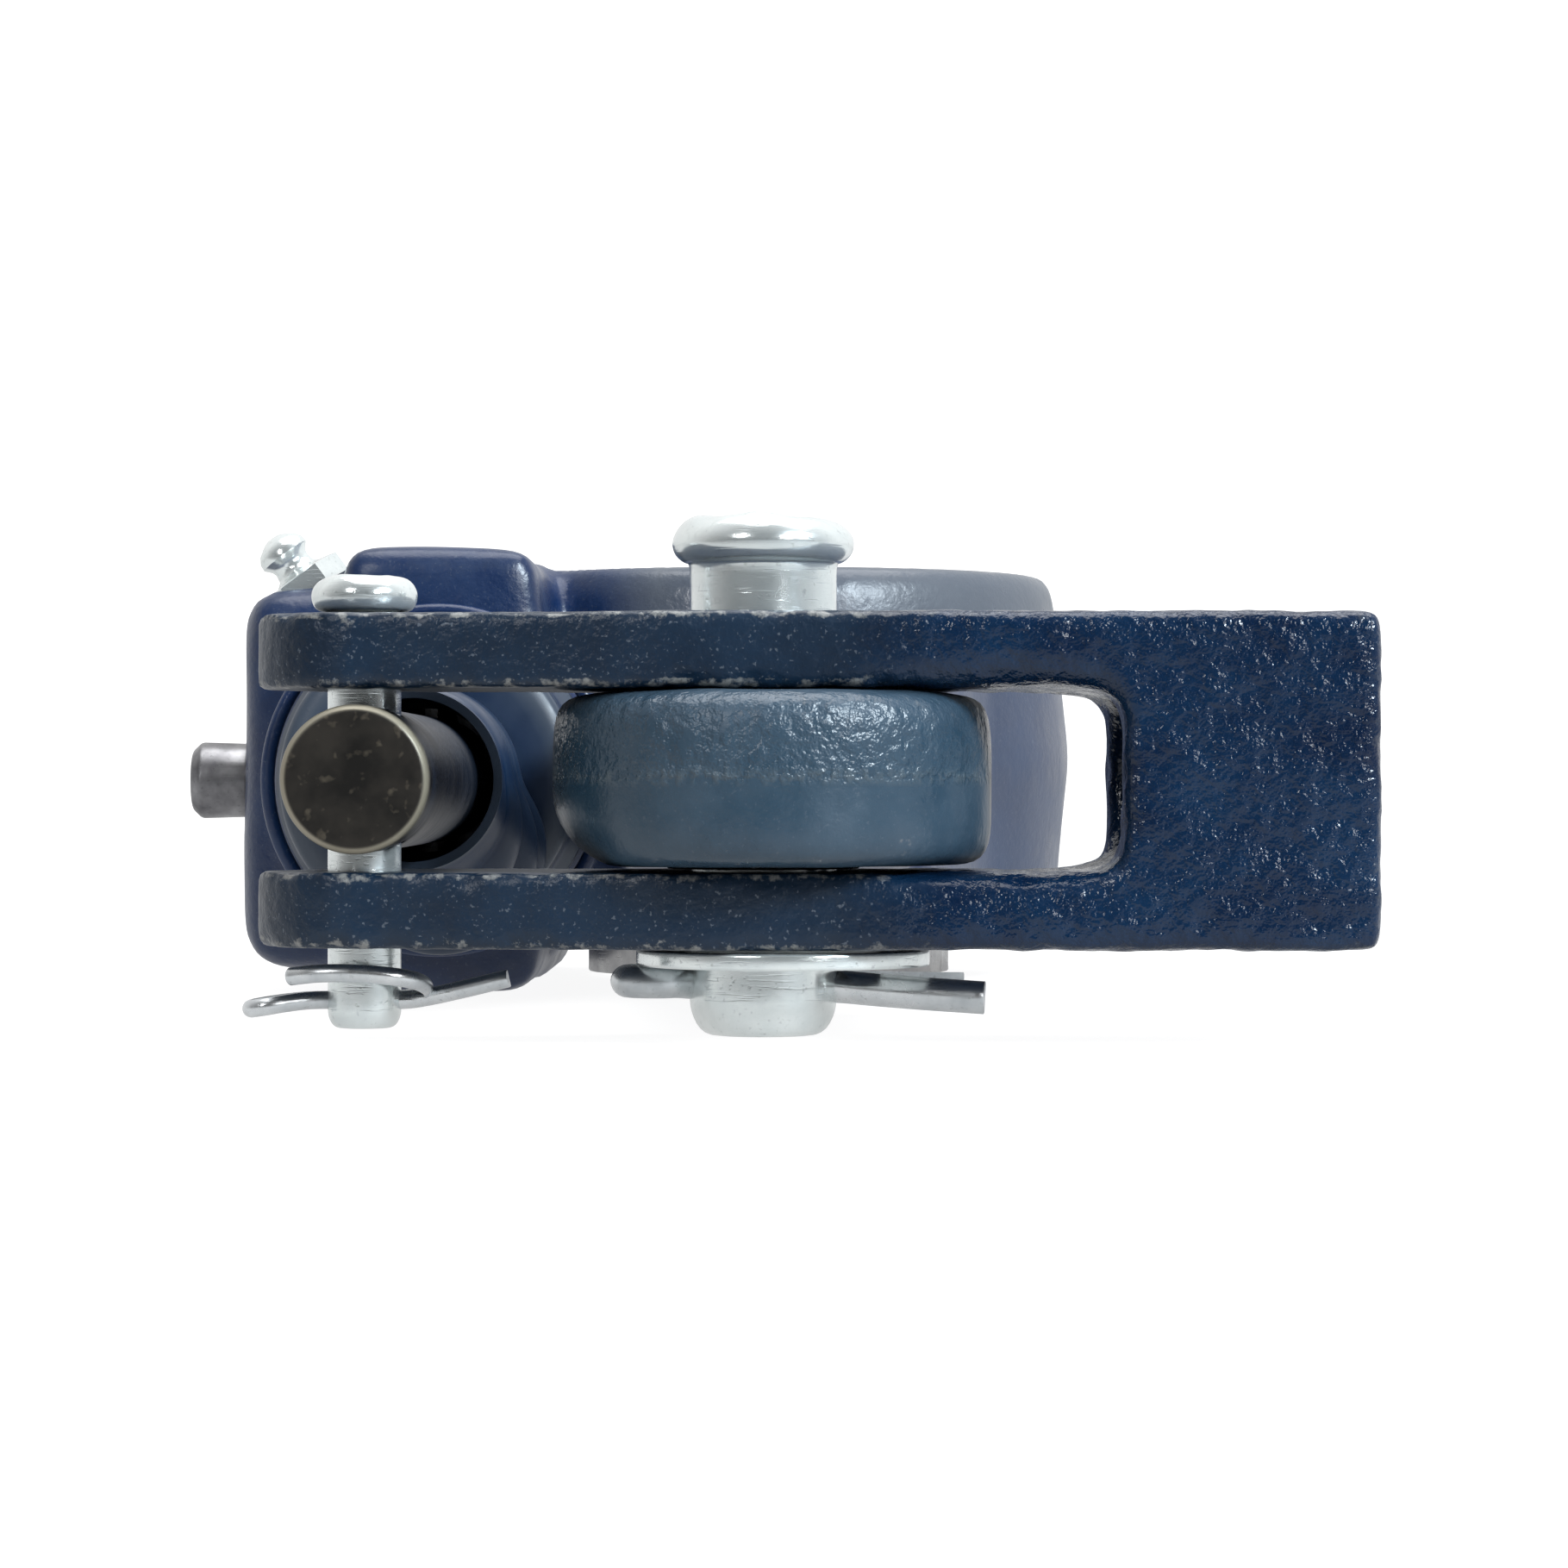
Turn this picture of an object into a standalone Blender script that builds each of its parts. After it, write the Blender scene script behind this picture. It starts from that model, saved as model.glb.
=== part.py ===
"""Automatic slack adjuster with clevis, for a cam-operated drum brake, lying flat on its face.

The camshaft axis and both clevis pins run along +Z. The arm runs from the camshaft towards -Y and
ends in an eye, which the clevis grips. A tower beside the arm holds the worm, and above it the
sleeve, the piston and the actuator rod, which reaches up to the small clevis pin.
Every size below is measured from the camshaft axis at the table's height. The whole assembly then
hangs on one empty, which brings the middle of its footprint to the origin.
"""

import math

import bmesh
import bpy
from mathutils import Matrix, Vector

MM = 0.001
FULL_TURN = 2 * math.pi

# Fits
TOUCH = 0.3 * MM  # between pieces that rest on each other
SWING_ROOM = 0.8 * MM  # sideways travel of the rod as the clevis turns

# Arm, eye and clevis
ARM_LENGTH = 139.7 * MM  # camshaft axis to large clevis pin, 5 1/2 in
MID_Z = 22.4 * MM  # middle plane of the eye, the worm and the rod
EYE_RADIUS = 19.05 * MM
EYE_THICKNESS = 14.8 * MM
BUSHING_WALL = 1.75 * MM
CLEVIS_GAP = 15.6 * MM
CLEVIS_HEIGHT = 28.6 * MM
CLEVIS_SMALL_END = 9.2 * MM  # radius of the arm ends round the small pin
CLEVIS_WAIST = 12.5 * MM  # half depth of the arms at the large pin
BLOCK_FROM = 30.4 * MM  # large pin to the slot's inner end
BLOCK_LENGTH = 21.6 * MM  # slot's inner end to the block's outer face
BLOCK_HALF = 13.2 * MM
SLOT_CORNER = 2.2 * MM
THREAD_RADIUS = 7.3 * MM  # tapped 5/8-18 for the brake chamber's push rod

# Clevis pins
PIN_RADIUS = 6.35 * MM
PIN_RIM = 1.65 * MM  # head's overhang all round
PIN_HEAD = 3.7 * MM
PIN_STAND = 4.7 * MM  # head's underside above the clevis, as the pin stands on the table
SMALL_PIN_RADIUS = 3.175 * MM
SMALL_PIN_RIM = 1.475 * MM
SMALL_PIN_HEAD = 2.7 * MM
SMALL_PIN_LENGTH = 36.0 * MM  # under the head
WASHER_RIM = 6.35 * MM
WASHER_THICKNESS = 1.2 * MM
COTTER_WIRE = 1.5 * MM
SMALL_COTTER_WIRE = 0.9 * MM

# Gear set
SPLINES = 10
SPLINE_OUTER = 19.05 * MM  # 1 1/2 in camshaft
SPLINE_DEPTH = 2.15 * MM
HUB_WALL = 1.95 * MM
HUB_RADIUS = SPLINE_OUTER + HUB_WALL
HUB_SETBACK = 0.3 * MM  # hub end above the table, and below the case's top
MODULE = 2.45 * MM
DEDENDUM = 1.25 * MODULE
PRESSURE_ANGLE = math.radians(20)
TEETH = math.ceil(2 * (HUB_RADIUS + TOUCH + DEDENDUM) / MODULE)  # the fewest that clear the hub
GEAR_RADIUS = TEETH * MODULE / 2
GEAR_TIP = GEAR_RADIUS + MODULE
GEAR_ROOT = GEAR_RADIUS - DEDENDUM
GEAR_WIDTH = 22.0 * MM
BACKLASH = 0.45 * MM
WORM_RADIUS = 10.0 * MM
WORM_TIP = WORM_RADIUS + MODULE
WORM_ROOT = WORM_RADIUS - DEDENDUM
PIN_SPACING = GEAR_RADIUS + WORM_RADIUS  # also large to small clevis pin, so the rod runs straight
LEAD = math.pi * MODULE
WORM_FRONT = 12.0 * MM  # thread's front end, ahead of the camshaft axis
WORM_BACK = 13.4 * MM
WORM_BORE = WORM_TIP + 0.45 * MM
JOURNAL_RADIUS = 7.2 * MM
WASHER_STEP = 2.0 * MM
WORM_SEAL_RADIUS = JOURNAL_RADIUS + 2.7 * MM
WORM_SEAL_LENGTH = 4.0 * MM
RETAINER_BITE = 0.9 * MM  # worm's snap ring, into the barrel
RETAINER_THICKNESS = 1.4 * MM
WRENCH_FLATS = 8.0 * MM  # square end that a wrench turns
WRENCH_LENGTH = 10.0 * MM
SHANK_TIP = 6.6 * MM
SHANK_TOOTH = 1.0 * MM
SHANK_SPLINES = 8

# Cover side
COVER_LEDGE = 1.45 * MM  # cover's overhang beyond the cavity
COVER_THICKNESS = 4.6 * MM
CAVITY_RADIUS = GEAR_TIP + 2 * TOUCH
COVER_RADIUS = CAVITY_RADIUS + COVER_LEDGE
THRUST_THICKNESS = 1.8 * MM
SEAL_RADIUS = HUB_RADIUS + 3.4 * MM
SEAL_HEIGHT = 3.0 * MM
SNAP_THICKNESS = 1.8 * MM
SNAP_WIDTH = 2.6 * MM  # inwards of the cover's edge
SNAP_BITE = 1.3 * MM

# Housing
CASE_WALL = 6.0 * MM
CASE_RADIUS = COVER_RADIUS + CASE_WALL
CASE_FOOT = 3.8 * MM  # the case stands clear of the table, on the gear's hub and the tower
CASE_TOP = 46.0 * MM
CASE_DRAFT = 1.8 * MM
CASE_CORNER = 2.5 * MM
CASE_SIDES = 44
NECK_HALF = 14.0 * MM  # half width of the arm at the eye
ROOT_HALF = 25.0 * MM  # half width of the arm at the case
ROOT_THICKNESS = 25.0 * MM
BARREL_WALL = 4.6 * MM
BARREL_RADIUS = WORM_BORE + BARREL_WALL
TOWER_HALF = 11.8 * MM  # half width of the flats above and below the barrel, where they leave it
TOWER_DRAFT = 1.6 * MM
TOWER_TOP = 47.0 * MM
BARREL_FRONT = 52.7 * MM  # camshaft axis to the tower's mouth
BARREL_BACK = 26.0 * MM
TOWER_CORNER = 2.2 * MM
TOWER_EDGE = 1.2 * MM  # rounding of the end faces
COLLAR_RADIUS = WORM_BORE + 2.1 * MM
COLLAR_LENGTH = 5.8 * MM
PLUG_BOSS_RADIUS = WORM_SEAL_RADIUS + 3.6 * MM
PLUG_BOSS_LENGTH = 5.5 * MM

# Sleeve, piston, rod and boot
SLEEVE_TIP = WORM_BORE - 2.5 * MM
SLEEVE_TEETH = 24
SLEEVE_TOOTH = 0.8 * MM
SLEEVE_FRONT = BARREL_FRONT - 6.2 * MM
SLEEVE_BACK = 22.0 * MM
SHANK_END = SLEEVE_FRONT - 7.5 * MM
SLEEVE_NECK = SLEEVE_TIP - 1.4 * MM
NECK_LENGTH = 6.5 * MM
RING_WIRE = 1.1 * MM
PISTON_FRONT = BARREL_FRONT + 15.3 * MM
ROD_RADIUS = 6.35 * MM
ROD_OVERHANG = 10.0 * MM  # rod end beyond the small pin
ROD_BACK = PISTON_FRONT - 12.0 * MM
CROSS_PIN_RADIUS = 2.5 * MM
CROSS_PIN_AT = PISTON_FRONT - 6.5 * MM
BOOT_WALL = 1.5 * MM
BOOT_FOLDS = 3
BOOT_FOLD = 6.0 * MM
BOOT_DEPTH = 2.4 * MM
BOOT_CONE = 10.0 * MM
BOOT_LIP = 3.0 * MM
CLAMP_WIRE = 1.6 * MM

# Pawl
PAWL_AT = 34.7 * MM  # ahead of the camshaft axis, along the sleeve's teeth
PAWL_RADIUS = 4.6 * MM
PAWL_BODY = 4.0 * MM
PAWL_STEM = 2.2 * MM
BOSS_FACE = PIN_SPACING + 21.5 * MM  # pawl boss's flat face, from the camshaft axis
BOSS_HALF_DEPTH = 15.0 * MM
BOSS_HALF_HEIGHT = 20.5 * MM
CAP_RADIUS = 6.3 * MM
CAP_LENGTH = 2.4 * MM
BUTTON_RADIUS = 4.0 * MM
BUTTON_LENGTH = 6.4 * MM
SPRING_WIRE = 0.7 * MM
SPRING_TURNS = 3

# Grease fitting
FITTING_HEX = 8.0 * MM
FITTING_TILT = math.radians(53)  # from the table
FITTING_AT = 8.0 * MM  # along the pawl boss's top, from its face
FITTING_LENGTH = 9.8 * MM
FITTING_HOLE = 2.9 * MM
FITTING_SEAT = 2.0 * MM  # from the start of the fitting's axis to its spot face

# Worked out
BUSHING_RADIUS = PIN_RADIUS + TOUCH + BUSHING_WALL
LARGE_PIN = Vector((0, -ARM_LENGTH, MID_Z))
SMALL_PIN = Vector((-PIN_SPACING, -ARM_LENGTH, MID_Z))
CLEVIS_MID = MID_Z + EYE_THICKNESS / 2 + TOUCH - CLEVIS_GAP / 2
CLEVIS_TOP = CLEVIS_MID + CLEVIS_HEIGHT / 2
CLEVIS_FOOT = CLEVIS_MID - CLEVIS_HEIGHT / 2
PIN_FOOT = TOUCH
PIN_SHOULDER = CLEVIS_TOP + PIN_STAND
SMALL_PIN_SHOULDER = CLEVIS_TOP + TOUCH
SMALL_PIN_FOOT = SMALL_PIN_SHOULDER - SMALL_PIN_LENGTH
COTTER_Z = CLEVIS_FOOT - TOUCH - WASHER_THICKNESS - TOUCH - COTTER_WIRE - TOUCH / 2
SMALL_COTTER_Z = SMALL_PIN_FOOT + 2.4 * MM
GEAR_LOW = MID_Z - GEAR_WIDTH / 2
GEAR_HIGH = MID_Z + GEAR_WIDTH / 2
CAVITY_FLOOR = GEAR_LOW - TOUCH - THRUST_THICKNESS - TOUCH
COVER_LOW = GEAR_HIGH + TOUCH + THRUST_THICKNESS + TOUCH
COVER_HIGH = COVER_LOW + COVER_THICKNESS
SNAP_LOW = COVER_HIGH + TOUCH
COLLAR_FRONT = BARREL_FRONT + COLLAR_LENGTH
BUTTON_END = BOSS_FACE + TOUCH + BUTTON_LENGTH
LEFT_END = -BUTTON_END
BLOCK_TO = BLOCK_FROM + BLOCK_LENGTH
RIGHT_END = BLOCK_TO
FRONT_END = -ARM_LENGTH - EYE_RADIUS
WORM_END = WORM_BACK + WASHER_STEP + TOUCH * 2
PLUG_FACE = BARREL_BACK + PLUG_BOSS_LENGTH
BACK_END = PLUG_FACE + TOUCH * 5 + WRENCH_LENGTH
FOOTPRINT_MIDDLE = Vector(((LEFT_END + RIGHT_END) / 2, (FRONT_END + BACK_END) / 2, 0))

PARTS = None
CUTTERS = None


# ---------------------------------------------------------------- scene and helpers


def clear_scene():
    for obj in list(bpy.data.objects):
        bpy.data.objects.remove(obj, do_unlink=True)


def new_collection(name):
    collection = bpy.data.collections.new(name)
    bpy.context.scene.collection.children.link(collection)
    return collection


def material(name, colour, metallic, roughness):
    made = bpy.data.materials.get(name)
    if made is None:
        made = bpy.data.materials.new(name)
        made.use_nodes = True
        shader = made.node_tree.nodes["Principled BSDF"]
        shader.inputs["Base Color"].default_value = (*colour, 1)
        shader.inputs["Metallic"].default_value = metallic
        shader.inputs["Roughness"].default_value = roughness
    return made


def paint():
    return material("navy_paint", (0.012, 0.022, 0.06), 0.0, 0.25)


def zinc():
    return material("zinc_plate", (0.72, 0.72, 0.7), 1.0, 0.32)


def steel():
    return material("machined_steel", (0.45, 0.45, 0.46), 1.0, 0.35)


def black_oxide():
    return material("black_oxide", (0.06, 0.055, 0.05), 0.7, 0.45)


def rubber():
    return material("black_rubber", (0.015, 0.015, 0.016), 0.0, 0.6)


def spring_steel():
    return material("spring_steel", (0.2, 0.2, 0.21), 1.0, 0.4)


def add_object(name, mesh, finish=None):
    """A node when it has a finish, and a hidden helper when it has none."""
    obj = bpy.data.objects.new(name, mesh)
    if finish is None:
        CUTTERS.objects.link(obj)
        obj.hide_render = True
        obj.display_type = "WIRE"
    else:
        PARTS.objects.link(obj)
        mesh.materials.append(finish)
    return obj


def from_bmesh(name, shape, finish=None, smooth=True):
    bmesh.ops.recalc_face_normals(shape, faces=shape.faces)
    mesh = bpy.data.meshes.new(name)
    shape.to_mesh(mesh)
    shape.free()
    if smooth:
        mesh.shade_smooth()
        mesh.set_sharp_from_angle(angle=math.radians(35))
    return add_object(name, mesh, finish)


def along(axis):
    """Turns local Z to the named axis."""
    return {
        "X": Matrix.Rotation(math.pi / 2, 4, "Y"),
        "Y": Matrix.Rotation(-math.pi / 2, 4, "X"),
        "Z": Matrix.Identity(4),
    }[axis]


def cylinder(name, radius, start, end, finish=None, sides=32, end_radius=None):
    """A closed cylinder, or a cone with end_radius, between two points."""
    start, end = Vector(start), Vector(end)
    turn = (end - start).to_track_quat("Z", "Y").to_matrix().to_4x4()
    shape = bmesh.new()
    bmesh.ops.create_cone(
        shape,
        cap_ends=True,
        segments=sides,
        radius1=radius,
        radius2=radius if end_radius is None else end_radius,
        depth=(end - start).length,
        matrix=Matrix.Translation((start + end) / 2) @ turn,
    )
    return from_bmesh(name, shape, finish)


def box(name, low, high, finish=None):
    low, high = Vector(low), Vector(high)
    shape = bmesh.new()
    size = Matrix.Diagonal((*(high - low), 1))
    bmesh.ops.create_cube(shape, size=1, matrix=Matrix.Translation((low + high) / 2) @ size)
    return from_bmesh(name, shape, finish, smooth=False)


def settled(name, obj, finish):
    """The object's evaluated shape as one welded mesh in world space."""
    graph = bpy.context.evaluated_depsgraph_get()
    shape = bmesh.new()
    shape.from_mesh(bpy.data.meshes.new_from_object(obj.evaluated_get(graph)))
    shape.transform(obj.matrix_world)
    bmesh.ops.remove_doubles(shape, verts=shape.verts, dist=0.002 * MM)
    bpy.data.objects.remove(obj, do_unlink=True)
    return from_bmesh(name, shape, finish)


def turned(name, profile, base, axis, finish=None, sides=36, ring=False):
    """Turns (radius, height) points about an axis through base. A ring's profile is a closed loop."""
    points = [(radius, 0, height) for radius, height in profile]
    edges = [(i, i + 1) for i in range(len(points) - 1)]
    if ring:
        edges.append((len(points) - 1, 0))
    mesh = bpy.data.meshes.new(name)
    mesh.from_pydata(points, edges, [])
    guide = bpy.data.objects.new(name + "_profile", mesh)
    CUTTERS.objects.link(guide)
    guide.matrix_world = Matrix.Translation(base) @ along(axis)
    screw = guide.modifiers.new("turn", "SCREW")
    screw.steps = screw.render_steps = sides
    screw.use_merge_vertices = True
    screw.merge_threshold = 0.00001
    bpy.context.view_layer.update()
    return settled(name, guide, finish)


def arc(centre, radius, first, last, steps):
    """Points on a circle, from one angle to the other in degrees."""
    angles = [math.radians(first + (last - first) * i / steps) for i in range(steps + 1)]
    return [(centre[0] + radius * math.cos(a), centre[1] + radius * math.sin(a)) for a in angles]


def slab(name, outline, low, high, finish=None, axis="Z", base=(0, 0, 0)):
    """A flat outline with its thickness from low to high along the axis, through base."""
    curve = bpy.data.curves.new(name, "CURVE")
    curve.dimensions = "2D"
    curve.fill_mode = "BOTH"
    curve.extrude = (high - low) / 2
    spline = curve.splines.new("POLY")
    spline.points.add(len(outline) - 1)
    for point, (x, y) in zip(spline.points, outline):
        point.co = (x, y, 0, 1)
    spline.use_cyclic_u = True
    obj = bpy.data.objects.new(name + "_outline", curve)
    CUTTERS.objects.link(obj)
    lift = Matrix.Translation((0, 0, (low + high) / 2))
    obj.matrix_world = Matrix.Translation(base) @ along(axis) @ lift
    bpy.context.view_layer.update()
    return settled(name, obj, finish)


def wire(name, points, radius, finish=None, closed=False):
    """A round wire through the points."""
    curve = bpy.data.curves.new(name, "CURVE")
    curve.dimensions = "3D"
    curve.bevel_depth = radius
    curve.bevel_resolution = 1
    curve.use_fill_caps = not closed
    spline = curve.splines.new("POLY")
    spline.points.add(len(points) - 1)
    for place, point in zip(spline.points, points):
        place.co = (*point, 1)
    spline.use_cyclic_u = closed
    obj = bpy.data.objects.new(name + "_path", curve)
    CUTTERS.objects.link(obj)
    bpy.context.view_layer.update()
    return settled(name, obj, finish)


def combine(obj, other, operation):
    step = obj.modifiers.new(f"{operation.lower()} {other.name}", "BOOLEAN")
    step.solver = "MANIFOLD"
    step.operation = operation
    step.object = other


def cut(obj, *others):
    for other in others:
        combine(obj, other, "DIFFERENCE")


def join(obj, *others):
    for other in others:
        combine(obj, other, "UNION")


def round_edges(obj, width, segments=2, angle=30):
    bevel = obj.modifiers.new("rounded edges", "BEVEL")
    bevel.width = width
    bevel.segments = segments
    bevel.angle_limit = math.radians(angle)
    bevel.limit_method = "ANGLE"


def hub_point(y, x=-PIN_SPACING, z=MID_Z):
    """A point on the tower's axis, y ahead of or behind the camshaft."""
    return Vector((x, y, z))


def toothed(count, root, tip, width_share, points=2):
    """Outline of evenly spaced teeth with sloping flanks, width_share of the pitch at their tips."""
    outline = []
    pitch = 360 / count
    for i in range(count):
        middle = i * pitch
        half_tip = pitch * width_share / 2
        half_root = pitch / 2 - half_tip * 0.6
        outline += arc((0, 0), root, middle - half_root, middle - pitch / 2 + half_tip, 1)[:1]
        outline += arc((0, 0), tip, middle - half_tip, middle + half_tip, points - 1)
        outline += arc((0, 0), root, middle + half_root, middle + half_root + 1, 1)[:1]
    return outline


# ---------------------------------------------------------------- housing


def crowned_case():
    """A forged drum, widest at its parting plane, with rounded rims."""
    half = (CASE_TOP - CASE_FOOT) / 2
    rim = CASE_RADIUS - CASE_DRAFT - CASE_CORNER
    upper = [(0, half), (rim, half)]
    upper += [(rim + x, half - CASE_CORNER + z) for x, z in arc((0, 0), CASE_CORNER, 75, 15, 3)]
    lower = [(x, -z) for x, z in reversed(upper)]
    profile = upper + [(CASE_RADIUS, 0)] + lower
    return turned("housing", profile, (0, 0, CASE_FOOT + half), "Z", paint(), CASE_SIDES)


def tower():
    """The barrel round the worm, with drafted flats that rise to the top face and stand on the table."""
    leave = math.degrees(math.acos(TOWER_HALF / BARREL_RADIUS))
    quarters = []
    for height in (TOWER_TOP - MID_Z, MID_Z):
        corner = (TOWER_HALF - TOWER_DRAFT - TOWER_CORNER, height - TOWER_CORNER)
        quarters.append(arc((0, 0), BARREL_RADIUS, 0, leave, 4) + arc(corner, TOWER_CORNER, 15, 90, 3))
    above, below = quarters
    outline = [(x, -z) for x, z in above]
    outline += [(-x, -z) for x, z in reversed(above)]
    outline += [(-x, z) for x, z in below[1:]] + [(x, z) for x, z in reversed(below[1:])]
    made = slab("tower", outline, -BARREL_FRONT, BARREL_BACK, axis="Y", base=hub_point(0))
    round_edges(made, TOWER_EDGE, 2, 60)
    return made


def tapered_arm():
    """The beam from the eye to the case. It clears the boot beside it, then flares into the case, and
    its thickness grows evenly towards the case."""
    near, far = -ARM_LENGTH + EYE_RADIUS * 0.7, -CASE_RADIUS * 0.6
    beside_boot = PIN_SPACING - COLLAR_RADIUS - BOOT_WALL - CLAMP_WIRE - 4 * TOUCH
    side = [(NECK_HALF, near), (beside_boot, -BARREL_FRONT - TOUCH)]
    side += [(PIN_SPACING - BARREL_RADIUS, -BARREL_FRONT), (ROOT_HALF, far)]
    outline = side + [(-x, y) for x, y in reversed(side)]
    arm = slab("arm_beam", outline, MID_Z - EYE_THICKNESS / 2, MID_Z + EYE_THICKNESS / 2)
    for point in arm.data.vertices:
        share = (point.co.y - near) / (far - near)
        scale = 0.97 + share * (ROOT_THICKNESS / EYE_THICKNESS - 0.97)
        point.co.z = MID_Z + (point.co.z - MID_Z) * scale
    round_edges(arm, 3 * MM)
    return arm


def housing():
    body = crowned_case()
    boss = box(
        "pawl_boss",
        (-BOSS_FACE, -PAWL_AT - BOSS_HALF_DEPTH, MID_Z + TOUCH - BOSS_HALF_HEIGHT),
        (-PIN_SPACING, -PAWL_AT + BOSS_HALF_DEPTH, MID_Z + TOUCH + BOSS_HALF_HEIGHT),
    )
    round_edges(boss, 4 * MM)
    collar = cylinder(
        "boot_collar", COLLAR_RADIUS, hub_point(-COLLAR_FRONT), hub_point(-BARREL_FRONT + 6 * MM)
    )
    plug_boss = cylinder(
        "plug_boss", PLUG_BOSS_RADIUS, hub_point(BARREL_BACK - 6 * MM), hub_point(PLUG_FACE)
    )
    eye = cylinder(
        "eye",
        EYE_RADIUS,
        (0, -ARM_LENGTH, MID_Z - EYE_THICKNESS / 2),
        (0, -ARM_LENGTH, MID_Z + EYE_THICKNESS / 2),
    )
    round_edges(eye, 1.6 * MM)
    join(body, tower(), boss, collar, plug_boss, tapered_arm(), eye)
    cut(body, *housing_bores())
    return body


def housing_bores():
    """Cavities for the gear, the worm, the pawl, the bushing and the grease fitting."""
    top = TOWER_TOP + MM
    seal_low = CAVITY_FLOOR - TOUCH * 3 - SEAL_HEIGHT
    cover_seat = COVER_LOW - TOUCH
    return [
        cylinder("cavity", CAVITY_RADIUS, (0, 0, CAVITY_FLOOR), (0, 0, top), sides=40),
        cylinder("cover_bore", COVER_RADIUS + TOUCH, (0, 0, cover_seat), (0, 0, top), sides=40),
        cylinder("hub_bore", HUB_RADIUS + TOUCH, (0, 0, -MM), (0, 0, CAVITY_FLOOR + MM), sides=40),
        cylinder(
            "seal_groove",
            SEAL_RADIUS + TOUCH,
            (0, 0, seal_low - TOUCH),
            (0, 0, seal_low + SEAL_HEIGHT + TOUCH),
            sides=40,
        ),
        cylinder(
            "snap_groove",
            COVER_RADIUS + SNAP_BITE + TOUCH,
            (0, 0, SNAP_LOW - TOUCH),
            (0, 0, SNAP_LOW + SNAP_THICKNESS + TOUCH),
            sides=40,
        ),
        cylinder("worm_bore", WORM_BORE, hub_point(-COLLAR_FRONT - MM), hub_point(WORM_END)),
        cylinder(
            "retainer_groove",
            WORM_BORE + RETAINER_BITE + TOUCH,
            hub_point(-WORM_FRONT - RETAINER_THICKNESS - 2 * TOUCH),
            hub_point(-WORM_FRONT),
        ),
        cylinder(
            "journal_bore",
            JOURNAL_RADIUS + TOUCH,
            hub_point(WORM_END - MM),
            hub_point(PLUG_FACE + MM),
        ),
        cylinder(
            "worm_seal_bore",
            WORM_SEAL_RADIUS + TOUCH,
            hub_point(PLUG_FACE - WORM_SEAL_LENGTH - 2 * TOUCH),
            hub_point(PLUG_FACE + MM),
        ),
        cylinder(
            "bushing_bore",
            BUSHING_RADIUS + TOUCH,
            (0, -ARM_LENGTH, MID_Z - EYE_THICKNESS),
            (0, -ARM_LENGTH, MID_Z + EYE_THICKNESS),
        ),
        cylinder(
            "pawl_bore",
            PAWL_RADIUS + TOUCH,
            pawl_point(-PIN_SPACING),
            pawl_point(-BOSS_FACE - MM),
            sides=32,
        ),
        cylinder(
            "cap_bore",
            CAP_RADIUS + TOUCH,
            pawl_point(-BOSS_FACE + CAP_LENGTH + TOUCH),
            pawl_point(-BOSS_FACE - MM),
            sides=32,
        ),
        cylinder(
            "fitting_hole",
            FITTING_HOLE + TOUCH,
            fitting_point(-14 * MM),
            fitting_point(FITTING_SEAT + MM),
            sides=20,
        ),
        cylinder(
            "fitting_seat",
            FITTING_HEX * 0.65,
            fitting_point(FITTING_SEAT),
            fitting_point(20 * MM),
            sides=24,
        ),
    ]


def arm_bushing():
    inner, outer = PIN_RADIUS + TOUCH, BUSHING_RADIUS
    half = EYE_THICKNESS / 2
    loop = [(outer, half), (outer, -half - 0.2 * MM), (inner, -half - 0.2 * MM), (inner, half)]
    return turned("arm_bushing", loop, LARGE_PIN, "Z", steel(), 40, ring=True)


# ---------------------------------------------------------------- gear set


def gear_outline():
    """Trapezoid teeth whose flanks run parallel to the worm's thread, less the backlash. The first
    one points at the worm."""
    outline = []
    for i in range(TEETH):
        middle = math.pi + FULL_TURN * i / TEETH
        for radius, side in ((GEAR_ROOT, -1), (GEAR_TIP, -1), (GEAR_TIP, 1), (GEAR_ROOT, 1)):
            slope = (GEAR_RADIUS - radius) * math.tan(PRESSURE_ANGLE)
            half = LEAD / 4 - BACKLASH / 2 + slope
            angle = middle + side * half / radius
            outline.append((radius * math.cos(angle), radius * math.sin(angle)))
    return outline


def worm_gear():
    """Teeth leaning by the worm's lead angle, with a hub on each side and a splined bore."""
    blank = slab("worm_gear", gear_outline(), GEAR_LOW, GEAR_HIGH, steel())
    lean = LEAD / (FULL_TURN * WORM_RADIUS * GEAR_RADIUS)
    for point in blank.data.vertices:
        point.co = Matrix.Rotation((point.co.z - MID_Z) * lean, 3, "Z") @ point.co
    hub = cylinder(
        "gear_hub", HUB_RADIUS, (0, 0, HUB_SETBACK), (0, 0, CASE_TOP - HUB_SETBACK), sides=40
    )
    spline = toothed(SPLINES, SPLINE_OUTER - SPLINE_DEPTH, SPLINE_OUTER, 0.42, 3)
    broach = slab("spline_bore", spline, -MM, CASE_TOP + MM)
    throat = cylinder(
        "gear_throat",
        WORM_ROOT + 2 * TOUCH,
        hub_point(-GEAR_RADIUS),
        hub_point(GEAR_RADIUS),
        sides=40,
    )
    cut(blank, throat)
    join(blank, hub)
    cut(blank, broach)
    return blank


def ring(name, inner, outer, low, high, base, axis, finish, sides=36):
    loop = [(outer, high), (outer, low), (inner, low), (inner, high)]
    return turned(name, loop, base, axis, finish, sides, ring=True)


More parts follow.
